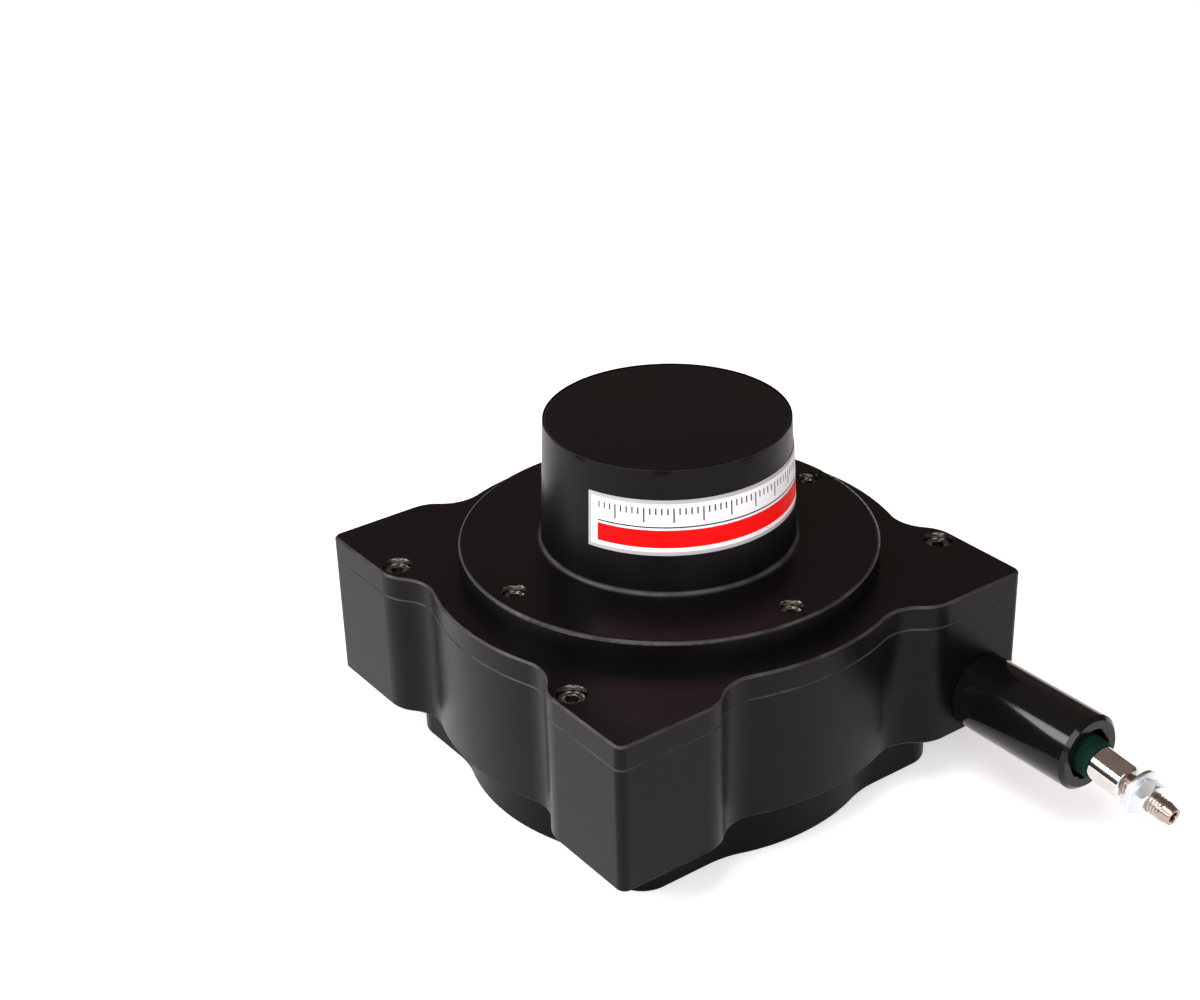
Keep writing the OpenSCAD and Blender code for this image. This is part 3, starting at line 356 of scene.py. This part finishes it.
def felt():
    """Pressed wool fibres."""
    s = Shader("felt")
    s.fixed(Metallic=0.0, Specular_IOR_Level=0.2, Sheen_Weight=0.4, Sheen_Roughness=0.5)
    fibres = s.noise(1500.0, 6.0, 0.7)
    s.colour(s.mixed(s.ranged(fibres, 0.0, 1.0), (0.10, 0.085, 0.07), (0.24, 0.20, 0.17)))
    s.roughness(s.ranged(fibres, 0.85, 1.0))
    s.bump(fibres, 0.08 * MM, 0.8)
    return s.material


TRACK_LINES = 180.0
TRACK_INNER = 14.2 * MM
TRACK_OUTER = 16.8 * MM


def disc_glass():
    """Clear disc with a track of fine radial lines near its edge."""
    s = Shader("disc_glass")
    s.fixed(Metallic=0.0, IOR=1.5, Transmission_Weight=0.85, Roughness=0.04)
    x, y, _ = s.axis_parts()
    angle = s.math("ARCTAN2", y, x)
    lines = s.math("GREATER_THAN", s.math("SINE", s.math("MULTIPLY", angle, TRACK_LINES)), 0.0)
    track = s.math("MULTIPLY", lines, s.between(s.length(x, y), TRACK_INNER, TRACK_OUTER))
    s.colour(s.mixed(track, (0.86, 0.92, 0.93), (0.02, 0.02, 0.022)))
    return s.material


RIBBON_PITCH = 1.8 * MM


def ribbon():
    """Grey flat cable, its wires side by side across the width."""
    s = Shader("ribbon")
    s.fixed(Metallic=0.0, Roughness=0.5)
    x, y, _ = s.axis_parts()
    across = s.math("MULTIPLY", s.math("ADD", x, y), 2 * math.pi / RIBBON_PITCH)
    s.clouded(300.0, 3.0, grey(0.32), grey(0.42))
    s.bump(s.math("SINE", across), 0.1 * MM, 0.7)
    return s.material


# The label's print. Heights are shares of its height, FIELD and BORDER_ENDS of its length.
LABEL_FROM = -74.5
LABEL_SWEEP = 136.0
BORDER_EDGES = (0.065, 0.935)
BORDER_ENDS = (0.011, 0.989)
FIELD = (0.035, 0.965)
STRIPE = (0.14, 0.46)
PAPER = ((0.78, 0.78, 0.79), (0.86, 0.86, 0.87))
BORDER_GREY = grey(0.42)
STRIPE_RED = (0.86, 0.0, 0.0)
INK = grey(0.02)
RULE = (0.50, 0.525)
TICK_TOP = 0.86
TICK_FOOT = 0.74
LONG_TICK_EXTRA = 0.14
LONG_TICK_EVERY = 5.0
TICK_STEP = 2.6
TICK_SHARE = 0.26


def label_print():
    """Plain film label: a red stripe along its foot, a row of ticks and a thin dark line. No words."""
    s = Shader("label_print")
    s.fixed(Metallic=0.0, Specular_IOR_Level=0.15)
    x, y, z = s.axis_parts()
    height = s.math("DIVIDE", s.math("SUBTRACT", z, label_low.z), label_high.z - label_low.z)
    angle = s.math("MULTIPLY", s.math("ARCTAN2", y, x), 180 / math.pi)
    turned_by = s.math("SUBTRACT", angle, LABEL_FROM)
    along = s.math("DIVIDE", turned_by, LABEL_SWEEP)
    paper = s.mixed(s.ranged(s.noise(90.0, 3.0), 0.0, 1.0), *PAPER)
    inside = s.math("MULTIPLY", s.between(height, *BORDER_EDGES), s.between(along, *BORDER_ENDS))
    framed = s.mixed(s.math("SUBTRACT", 1.0, inside), paper, BORDER_GREY)
    field = s.between(along, *FIELD)
    striped = s.mixed(s.math("MULTIPLY", field, s.between(height, *STRIPE)), framed, STRIPE_RED)
    steps = s.math("DIVIDE", turned_by, TICK_STEP)
    is_long = s.math("LESS_THAN", s.math("MODULO", s.math("FLOOR", steps), LONG_TICK_EVERY), 0.5)
    foot = s.math("SUBTRACT", TICK_FOOT, s.math("MULTIPLY", is_long, LONG_TICK_EXTRA))
    ticks = s.math("MULTIPLY", s.math("LESS_THAN", s.math("FRACT", steps), TICK_SHARE), field)
    ticks = s.math("MULTIPLY", ticks, s.between(height, foot, TICK_TOP))
    rule = s.math("MULTIPLY", field, s.between(height, *RULE))
    s.colour(s.mixed(s.math("MAXIMUM", ticks, rule), striped, INK))
    s.roughness(s.ranged(s.noise(700.0, 2.0), 0.45, 0.55))
    return s.material


CONNECTOR_THREAD = 1.0 * MM
THREAD_BEHIND_MIDDLE = 4.2 * MM


def nickel():
    """Nickel-plated brass; the thread shows as fine rings about the connector's axis."""
    s = Shader("nickel")
    s.fixed(Metallic=1.0)
    s.soft_edges(0.15 * MM)
    x, y, _ = s.axis_parts()
    along = s.math("ADD", s.math("MULTIPLY", x, connector_axis.x), s.math("MULTIPLY", y, connector_axis.y))
    start = connector_middle.xy.length - THREAD_BEHIND_MIDDLE
    threaded = s.math("GREATER_THAN", along, start)
    turns = s.math("SINE", s.math("MULTIPLY", along, 2 * math.pi / CONNECTOR_THREAD))
    s.clouded(160.0, 3.0, (0.50, 0.47, 0.42), (0.63, 0.60, 0.55))
    s.roughness(s.ranged(s.noise(600.0, 2.0), 0.2, 0.3))
    s.bump(s.math("MULTIPLY", turns, threaded), 0.35 * MM, 0.8)
    return s.material


def board_green():
    """Solder mask over faint tracks."""
    s = Shader("board_green")
    s.fixed(Metallic=0.0, Specular_IOR_Level=0.5, Coat_Weight=0.3)
    tracks = s.noise(500.0, 0.0, stretch=(1.0, 0.15, 1.0))
    s.colour(s.mixed(s.ranged(tracks, 0.0, 1.0, 0.48, 0.52), (0.010, 0.075, 0.030), (0.018, 0.13, 0.055)))
    s.roughness(s.ranged(s.noise(200.0), 0.3, 0.42))
    return s.material


PLATE_SCREW = first_screw("top_plate_screws")
PLATE_BORE_R = 3.9 * MM
PLATE_BORE_HEIGHTS = (plate_top - 3.95 * MM, plate_top - 0.12 * MM)
PLATE_BORES = [([PLATE_SCREW], PLATE_BORE_R, PLATE_BORE_HEIGHTS)]
HOOD_SCREW_R = first_screw("hood_screws")[0]
HOOD_BORE_R = 3.2 * MM
HOOD_BORE_HEIGHTS = (plate_top + 2 * MM, plate_top + 5.68 * MM)
HOOD_BORES = [([(HOOD_SCREW_R, 0.0), (0.0, HOOD_SCREW_R)], HOOD_BORE_R, HOOD_BORE_HEIGHTS)]

MATERIALS = {
    "black_anodised": anodised_black("anodised_black", soft=0.25 * MM, bores=PLATE_BORES),
    "outlet_black": gloss_black(),
    "dark_steel": steel("dark_steel", (0.16, 0.145, 0.13), 0.26),
    "stainless": steel("stainless", (0.52, 0.51, 0.50), 0.28),
    "bearing_steel": steel("bearing_steel", (0.66, 0.67, 0.69), 0.14),
    "spring_steel": steel("spring_steel", (0.28, 0.30, 0.34), 0.3, brushed=(1.0, 1.0, 8.0)),
    "brass": steel("brass", (0.66, 0.50, 0.22), 0.26),
    "nickel": nickel(),
    "gold": steel("gold", (0.85, 0.62, 0.24), 0.16),
    "black_rubber": rubber("black_rubber", grey(0.010), grey(0.018)),
    # Green kept very dark: partly the bumper's own deep green, partly painted shade from the tube's mouth
    # around it.
    "green_rubber": rubber(
        "green_rubber", (0.0003, 0.010, 0.0055), (0.0005, 0.020, 0.011), rough=0.7, specular=0.12
    ),
    "felt": felt(),
    "label": label_print(),
    "white_plastic": plastic("white_plastic", (0.68, 0.66, 0.60), (0.78, 0.76, 0.70), 0.35),
    "plain_aluminium": steel("plain_aluminium", (0.58, 0.59, 0.60), 0.32, brushed=(1.0, 1.0, 6.0)),
    "black_plastic": plastic("black_plastic", grey(0.014), grey(0.024), 0.4),
    "board_green": board_green(),
    "ribbon_grey": ribbon(),
    "glass": disc_glass(),
    "chrome": chrome(),
    "turned_steel": steel("turned_steel", (0.46, 0.38, 0.33), 0.22),
    "zinc": steel("zinc", (0.74, 0.80, 0.83), 0.30, scale=300.0, depth=0.002),
}

for part in frame["record"]["subparts"]:
    node = frame["nodes"][part["node"]]
    node.data.materials.clear()
    node.data.materials.append(MATERIALS[part["material_slot"]])
frame["nodes"]["encoder_hood"].data.materials[0] = anodised_black("anodised_hood", bores=HOOD_BORES)
# The spring case gets a darkened copy of the anodising: painted shade under the housing.
frame["nodes"]["spring_case"].data.materials[0] = anodised_black("anodised_case_painted_shade", painted_shade=CASE_PAINTED_SHADE)


# ---------------------------------------------------------------- mesh helpers

SHARP_ANGLE = 38


def new_piece(name, vertices, faces, material, body):
    """Closed smooth piece whose faces look outwards. It rides on body, if one is given."""
    mesh = bpy.data.meshes.new(name)
    mesh.from_pydata(vertices, [], faces)
    mesh.validate()
    shell = bmesh.new()
    shell.from_mesh(mesh)
    bmesh.ops.recalc_face_normals(shell, faces=shell.faces)
    shell.to_mesh(mesh)
    shell.free()
    mesh.update()
    piece = bpy.data.objects.new(name, mesh)
    bpy.context.scene.collection.objects.link(piece)
    piece.data.materials.append(material)
    for polygon in mesh.polygons:
        polygon.use_smooth = True
    mesh.set_sharp_from_angle(angle=math.radians(SHARP_ANGLE))
    if body:
        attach(piece, body)
    return piece


def basis(axis):
    """Two directions square to axis."""
    side = axis.cross(Vector((0, 1, 0))).normalized()
    return side, axis.cross(side).normalized()


def ring_faces(rings, around):
    """Quads between neighbouring rings of a grid of points."""
    faces = []
    for i in range(rings - 1):
        for j in range(around):
            k = (j + 1) % around
            faces.append((i * around + j, i * around + k, (i + 1) * around + k, (i + 1) * around + j))
    return faces


def closed_faces(rings, around):
    """The quads between the rings, and a face over each end."""
    first = tuple(reversed(range(around)))
    last = tuple((rings - 1) * around + j for j in range(around))
    return ring_faces(rings, around) + [first, last]


def turned(rings, place, around):
    """Closed turned shape. A ring is (distance, radius at a share of a turn); place makes its points."""
    points = [
        place(distance, radius(j / around), 2 * math.pi * j / around)
        for distance, radius in rings
        for j in range(around)
    ]
    return points, closed_faces(len(rings), around)


def circle_of(radius):
    return lambda turn: radius


def hexagon_corner(across_flats):
    return across_flats / 2 / math.cos(math.radians(30))


def hexagon_of(across_flats):
    """Radius of a hexagon, as a share of a turn goes round it."""
    def radius(turn):
        within = (turn * 6) % 1.0 - 0.5
        return across_flats / 2 / math.cos(math.radians(60 * within))
    return radius


# ---------------------------------------------------------------- screws

M3_SCREW = {"thread_r": 1.5 * MM, "head_h": 3 * MM, "key": 2.5 * MM}
M4_SCREW = {"thread_r": 2 * MM, "head_h": 4 * MM, "key": 3 * MM}
HEAD_SINK = 1.1 * MM
RIM_R = 0.8 * MM
RIM_STEPS = 6
SCREW_SIDES = 48
SOCKET_SHARE = 0.55
SOCKET_BEVEL = (0.25 * MM, 0.2 * MM)
THREAD_BEVEL = 0.4 * MM


def socket_screws(name, node, centres, thread_r, head_h, key):
    """Socket screws with rounded rims, sunk a little below the face that they hold."""
    low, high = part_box(node)
    head_r = HEAD_R[node]
    top = high.z - HEAD_SINK
    under = top - head_h + HEAD_SINK
    rings = [
        (top - head_h * SOCKET_SHARE, hexagon_of(key)),
        (top - SOCKET_BEVEL[0], hexagon_of(key)),
        (top, circle_of(hexagon_corner(key) + SOCKET_BEVEL[1])),
    ]
    for k in range(RIM_STEPS + 1):
        angle = math.radians(90 / RIM_STEPS * k)
        rings.append((top - RIM_R * (1 - math.cos(angle)), circle_of(head_r - RIM_R * (1 - math.sin(angle)))))
    rings += [
        (under, circle_of(head_r)),
        (under, circle_of(thread_r)),
        (low.z + THREAD_BEVEL, circle_of(thread_r)),
        (low.z, circle_of(thread_r - THREAD_BEVEL)),
    ]
    vertices, faces = [], []
    for x, y in centres:
        def place(height, radius, angle):
            return Vector((x + radius * math.cos(angle), y + radius * math.sin(angle), height))
        points, quads = turned(rings, place, SCREW_SIDES)
        faces += [tuple(len(vertices) + v for v in face) for face in quads]
        vertices += points
    screws = new_piece(name, vertices, faces, MATERIALS["dark_steel"], HOUSING)
    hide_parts(node)


def make_screws():
    """M4 screws in the cover plate's corners and M3 screws round the hood's flange."""
    x, y = PLATE_SCREW
    corners = [(sx * x, sy * y) for sx in (1, -1) for sy in (1, -1)]
    socket_screws("cover_screws", "top_plate_screws", corners, **M4_SCREW)
    r = HOOD_SCREW_R
    cross = [(r, 0), (0, r), (-r, 0), (0, -r)]
    socket_screws("flange_screws", "hood_screws", cross, **M3_SCREW)


# ---------------------------------------------------------------- threaded stud

STUD_R = 2.5 * MM
STUD_LEN = 19 * MM
THREAD_PITCH = 0.8 * MM
THREAD_DEPTH = 0.2 * MM
THREAD_STEPS = 10
THREAD_CREST = 0.12
THREAD_FLANK = 0.7
STUD_SIDES = 60
PLAIN_END = 2.6 * MM
TIP_LEN = 2.5 * MM
TIP_DROP = 0.45 * MM
TIP_BEVEL = 0.2 * MM
SOCKET_KEY = 2.5 * MM
SOCKET_DEPTH = 2.6 * MM
FREE_LEN = mounts["wire_stud"]["dims"]["length_mm"] * MM


def threaded_stud():
    """M5 stud: a real helical thread that runs out before the tapered end with its hexagon socket."""
    side, up = basis(stud_axis)
    tip = stud_middle + stud_axis * (FREE_LEN / 2 + TIP_LEN)
    steps = round(STUD_LEN / THREAD_PITCH * THREAD_STEPS)

    def place(back, radius, angle):
        return tip - stud_axis * back + side * (radius * math.cos(angle)) + up * (radius * math.sin(angle))

    def thread(back):
        def radius(turn):
            flank = abs(((back / THREAD_PITCH + turn) % 1.0) * 2 - 1)
            cut = min(1.0, max(0.0, (flank - THREAD_CREST) / THREAD_FLANK))
            runout = min(1.0, max(0.0, (back - PLAIN_END) / THREAD_PITCH))
            taper = TIP_DROP * max(0.0, 1 - back / TIP_LEN)
            return STUD_R - taper - THREAD_DEPTH * cut * runout
        return radius

    rings = [(STUD_LEN * (1 - i / steps), thread(STUD_LEN * (1 - i / steps))) for i in range(steps)]
    rings += [
        (TIP_BEVEL, circle_of(STUD_R - TIP_DROP)),
        (0.0, circle_of(STUD_R - TIP_DROP - TIP_BEVEL)),
        (0.0, circle_of(hexagon_corner(SOCKET_KEY) + TIP_BEVEL / 2)),
        (TIP_BEVEL, hexagon_of(SOCKET_KEY)),
        (SOCKET_DEPTH, hexagon_of(SOCKET_KEY)),
    ]
    points, faces = turned(rings, place, STUD_SIDES)
    stud = new_piece("threaded_stud", points, faces, MATERIALS["turned_steel"], WIRE_END)
    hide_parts("end_stud")


# ---------------------------------------------------------------- wire

STRANDS = 6
WIRE_R = 0.4 * MM
WIRE_LAY = 6 * MM
WIRE_SIDES = 24
WIRE_STEPS = 160
WIRE_VALLEY = 0.82
WIRE_CLIMB = 0.0614
PIVOT_FROM_MOUTH = 2.755 * MM
FERRULE_REACH = 8 * MM
FERRULE_STEPS = 20


def wire_path(guide_x, pivot_x):
    """From the drum up to the guide, along the tube, and down the drooping fitting into its ferrule."""
    start_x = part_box("draw_wire")[0].x
    path = []
    for i in range(WIRE_STEPS):
        x = start_x + (pivot_x - start_x) * i / (WIRE_STEPS - 1)
        path.append(Vector((x, wire_y, wire_z - max(0.0, guide_x - x) * WIRE_CLIMB)))
    drooping = [stud_axis * (FERRULE_REACH * k / FERRULE_STEPS) for k in range(1, FERRULE_STEPS + 1)]
    return path + [path[-1] + step for step in drooping]


def stranded_wire():
    """Laid steel wire rope; its straight part stretches between the housing and the fitting."""
    guide_x = tube_low.x
    pivot_x = tube_high.x - PIVOT_FROM_MOUTH
    path = wire_path(guide_x, pivot_x)
    points, travelled = [], 0.0
    across = Vector((0, 1, 0))
    for i, here in enumerate(path):
        before, after = path[max(0, i - 1)], path[min(len(path) - 1, i + 1)]
        side = (after - before).normalized().cross(across).normalized()
        travelled += (here - before).length
        for j in range(WIRE_SIDES):
            angle = 2 * math.pi * j / WIRE_SIDES
            lobe = abs(math.sin(STRANDS / 2 * (angle - 2 * math.pi * travelled / WIRE_LAY)))
            radius = WIRE_R * (WIRE_VALLEY + (1 - WIRE_VALLEY) * lobe)
            points.append(here + side * (radius * math.cos(angle)) + across * (radius * math.sin(angle)))
    faces = closed_faces(len(path), WIRE_SIDES)
    wire = new_piece("stranded_wire", points, faces, MATERIALS["stainless"], None)
    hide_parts("draw_wire")
    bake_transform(wire)


make_screws()
threaded_stud()
stranded_wire()


# ---------------------------------------------------------------- floor, world, lights, camera

FLOOR_REACH = 6.0
FLOOR_WHITE = (0.86, 0.86, 0.86, 1.0)
FLOOR_GLOW = 0.48
FAR_GLOW = 0.80
NEAR_REACH = 0.35
FAR_REACH = 1.2


def math_node(nodes, operation):
    node = nodes.new("ShaderNodeMath")
    node.operation = operation
    return node


def floor_glow(nodes, links):
    """How much the floor adds where it is seen, mirrored or looked at through glass. It grows far out."""
    path = nodes.new("ShaderNodeLightPath")
    seen = math_node(nodes, "MAXIMUM")
    seen_more = math_node(nodes, "MAXIMUM")
    level = math_node(nodes, "MULTIPLY")
    place = nodes.new("ShaderNodeNewGeometry")
    away = nodes.new("ShaderNodeVectorMath")
    away.operation = "LENGTH"
    glow_there = nodes.new("ShaderNodeMapRange")
    ends = (("From Min", NEAR_REACH), ("From Max", FAR_REACH), ("To Min", FLOOR_GLOW), ("To Max", FAR_GLOW))
    for socket, value in ends:
        glow_there.inputs[socket].default_value = value
    links.new(path.outputs["Is Camera Ray"], seen.inputs[0])
    links.new(path.outputs["Is Glossy Ray"], seen.inputs[1])
    links.new(seen.outputs[0], seen_more.inputs[0])
    links.new(path.outputs["Is Transmission Ray"], seen_more.inputs[1])
    links.new(place.outputs["Position"], away.inputs[0])
    links.new(away.outputs["Value"], glow_there.inputs["Value"])
    links.new(seen_more.outputs[0], level.inputs[0])
    links.new(glow_there.outputs["Result"], level.inputs[1])
    return level.outputs[0]


def floor():
    mesh = bpy.data.meshes.new("floor")
    corners = [(x * FLOOR_REACH, y * FLOOR_REACH, 0) for x, y in ((-1, -1), (1, -1), (1, 1), (-1, 1))]
    mesh.from_pydata(corners, [], [(0, 1, 2, 3)])
    plane = bpy.data.objects.new("floor", mesh)
    bpy.context.scene.collection.objects.link(plane)
    material = bpy.data.materials.new("floor_white")
    material.use_nodes = True
    nodes, links = material.node_tree.nodes, material.node_tree.links
    nodes.clear()
    diffuse = nodes.new("ShaderNodeBsdfDiffuse")
    diffuse.inputs["Color"].default_value = FLOOR_WHITE
    glow = nodes.new("ShaderNodeEmission")
    links.new(floor_glow(nodes, links), glow.inputs["Strength"])
    add = nodes.new("ShaderNodeAddShader")
    links.new(diffuse.outputs[0], add.inputs[0])
    links.new(glow.outputs[0], add.inputs[1])
    output = nodes.new("ShaderNodeOutputMaterial")
    links.new(add.outputs[0], output.inputs["Surface"])
    plane.data.materials.append(material)


HORIZON_AHEAD = (0.45, 0.43, 0.50, 1.0)
HORIZON_BEHIND = (0.10, 0.085, 0.075, 1.0)
ZENITH = (0.235, 0.175, 0.145, 1.0)
TOWARDS_CAMERA = (0.79, -0.61, 0.0)
AHEAD_FROM = 0.5
HORIZON_RISE = (0.08, 0.40)


def studio_world():
    """A dark warm ceiling, and a horizon that is pale on the camera's side and dark behind the part."""
    world = bpy.data.worlds.new("studio")
    bpy.context.scene.world = world
    world.use_nodes = True
    nodes, links = world.node_tree.nodes, world.node_tree.links
    nodes.clear()
    coords = nodes.new("ShaderNodeTexCoord")
    ahead = nodes.new("ShaderNodeVectorMath")
    ahead.operation = "DOT_PRODUCT"
    ahead.inputs[1].default_value = TOWARDS_CAMERA
    around = nodes.new("ShaderNodeValToRGB")
    around.color_ramp.interpolation = "EASE"
    behind_stop, ahead_stop = around.color_ramp.elements
    behind_stop.position, behind_stop.color = 0.0, HORIZON_BEHIND
    ahead_stop.position, ahead_stop.color = AHEAD_FROM, HORIZON_AHEAD
    split = nodes.new("ShaderNodeSeparateXYZ")
    height = nodes.new("ShaderNodeMapRange")
    height.interpolation_type = "SMOOTHSTEP"
    height.inputs["From Min"].default_value, height.inputs["From Max"].default_value = HORIZON_RISE
    sky = nodes.new("ShaderNodeMix")
    sky.data_type = "RGBA"
    sky.inputs[MIX_SECOND].default_value = ZENITH
    background = nodes.new("ShaderNodeBackground")
    output = nodes.new("ShaderNodeOutputWorld")
    links.new(coords.outputs["Generated"], ahead.inputs[0])
    links.new(coords.outputs["Generated"], split.inputs[0])
    links.new(ahead.outputs["Value"], around.inputs["Fac"])
    links.new(split.outputs["Z"], height.inputs["Value"])
    links.new(height.outputs["Result"], sky.inputs[0])
    links.new(around.outputs["Color"], sky.inputs[MIX_FIRST])
    links.new(sky.outputs[MIX_RESULT], background.inputs["Color"])
    links.new(background.outputs[0], output.inputs["Surface"])


def area_light(name, place, target, size, power, tint):
    """Square softbox of the given side and power, turned towards target."""
    light = bpy.data.lights.new(name, "AREA")
    light.energy = power
    light.size = size
    light.color = tint
    lamp = bpy.data.objects.new(name, light)
    bpy.context.scene.collection.objects.link(lamp)
    lamp.location = place
    lamp.rotation_euler = (Vector(target) - Vector(place)).to_track_quat("-Z", "Y").to_euler()


BODY_MIDDLE = (0, 0, 0.04)
HOOD_FOOT = (0, 0, 0.05)
OUTLET = (0.08, 0.05, 0.03)


# Solved from the photo's outlines: place in millimetres, angles in degrees, lens for a 36 mm sensor.
CAMERA_PLACE = Vector((350.53, -270.20, 301.58)) * MM
CAMERA_AZIMUTH = 54.496
CAMERA_ELEVATION = 27.742
CAMERA_ROLL = -1.714
CAMERA_LENS = 62.287
SENSOR_WIDTH = 36.0
CLIP_START = 0.02


def photo_camera():
    camera = bpy.data.objects.new("camera", bpy.data.cameras.new("camera"))
    bpy.context.scene.collection.objects.link(camera)
    camera.data.sensor_width = SENSOR_WIDTH
    camera.data.lens = CAMERA_LENS
    camera.data.clip_start = CLIP_START
    turn = Matrix.Rotation(math.radians(CAMERA_AZIMUTH), 4, "Z")
    tilt = Matrix.Rotation(math.radians(90 - CAMERA_ELEVATION), 4, "X")
    roll = Matrix.Rotation(math.radians(CAMERA_ROLL), 4, "Z")
    camera.matrix_world = Matrix.Translation(CAMERA_PLACE) @ turn @ tilt @ roll
    bpy.context.scene.camera = camera


floor()
studio_world()
area_light("key", (0.35, -1.1, 0.55), BODY_MIDDLE, size=0.45, power=5.0, tint=(0.96, 0.93, 1.0))
area_light("fill", (1.15, -0.35, 0.6), BODY_MIDDLE, size=0.7, power=9.0, tint=(0.97, 0.95, 1.0))
area_light("streak", (-0.50, -0.85, 0.72), OUTLET, size=0.44, power=9.0, tint=(0.97, 0.97, 1.0))
area_light("top", (0.32, -0.48, 1.15), HOOD_FOOT, size=0.5, power=8.0, tint=(1.0, 0.96, 0.92))
photo_camera()
bpy.context.scene.view_settings.view_transform = "Standard"
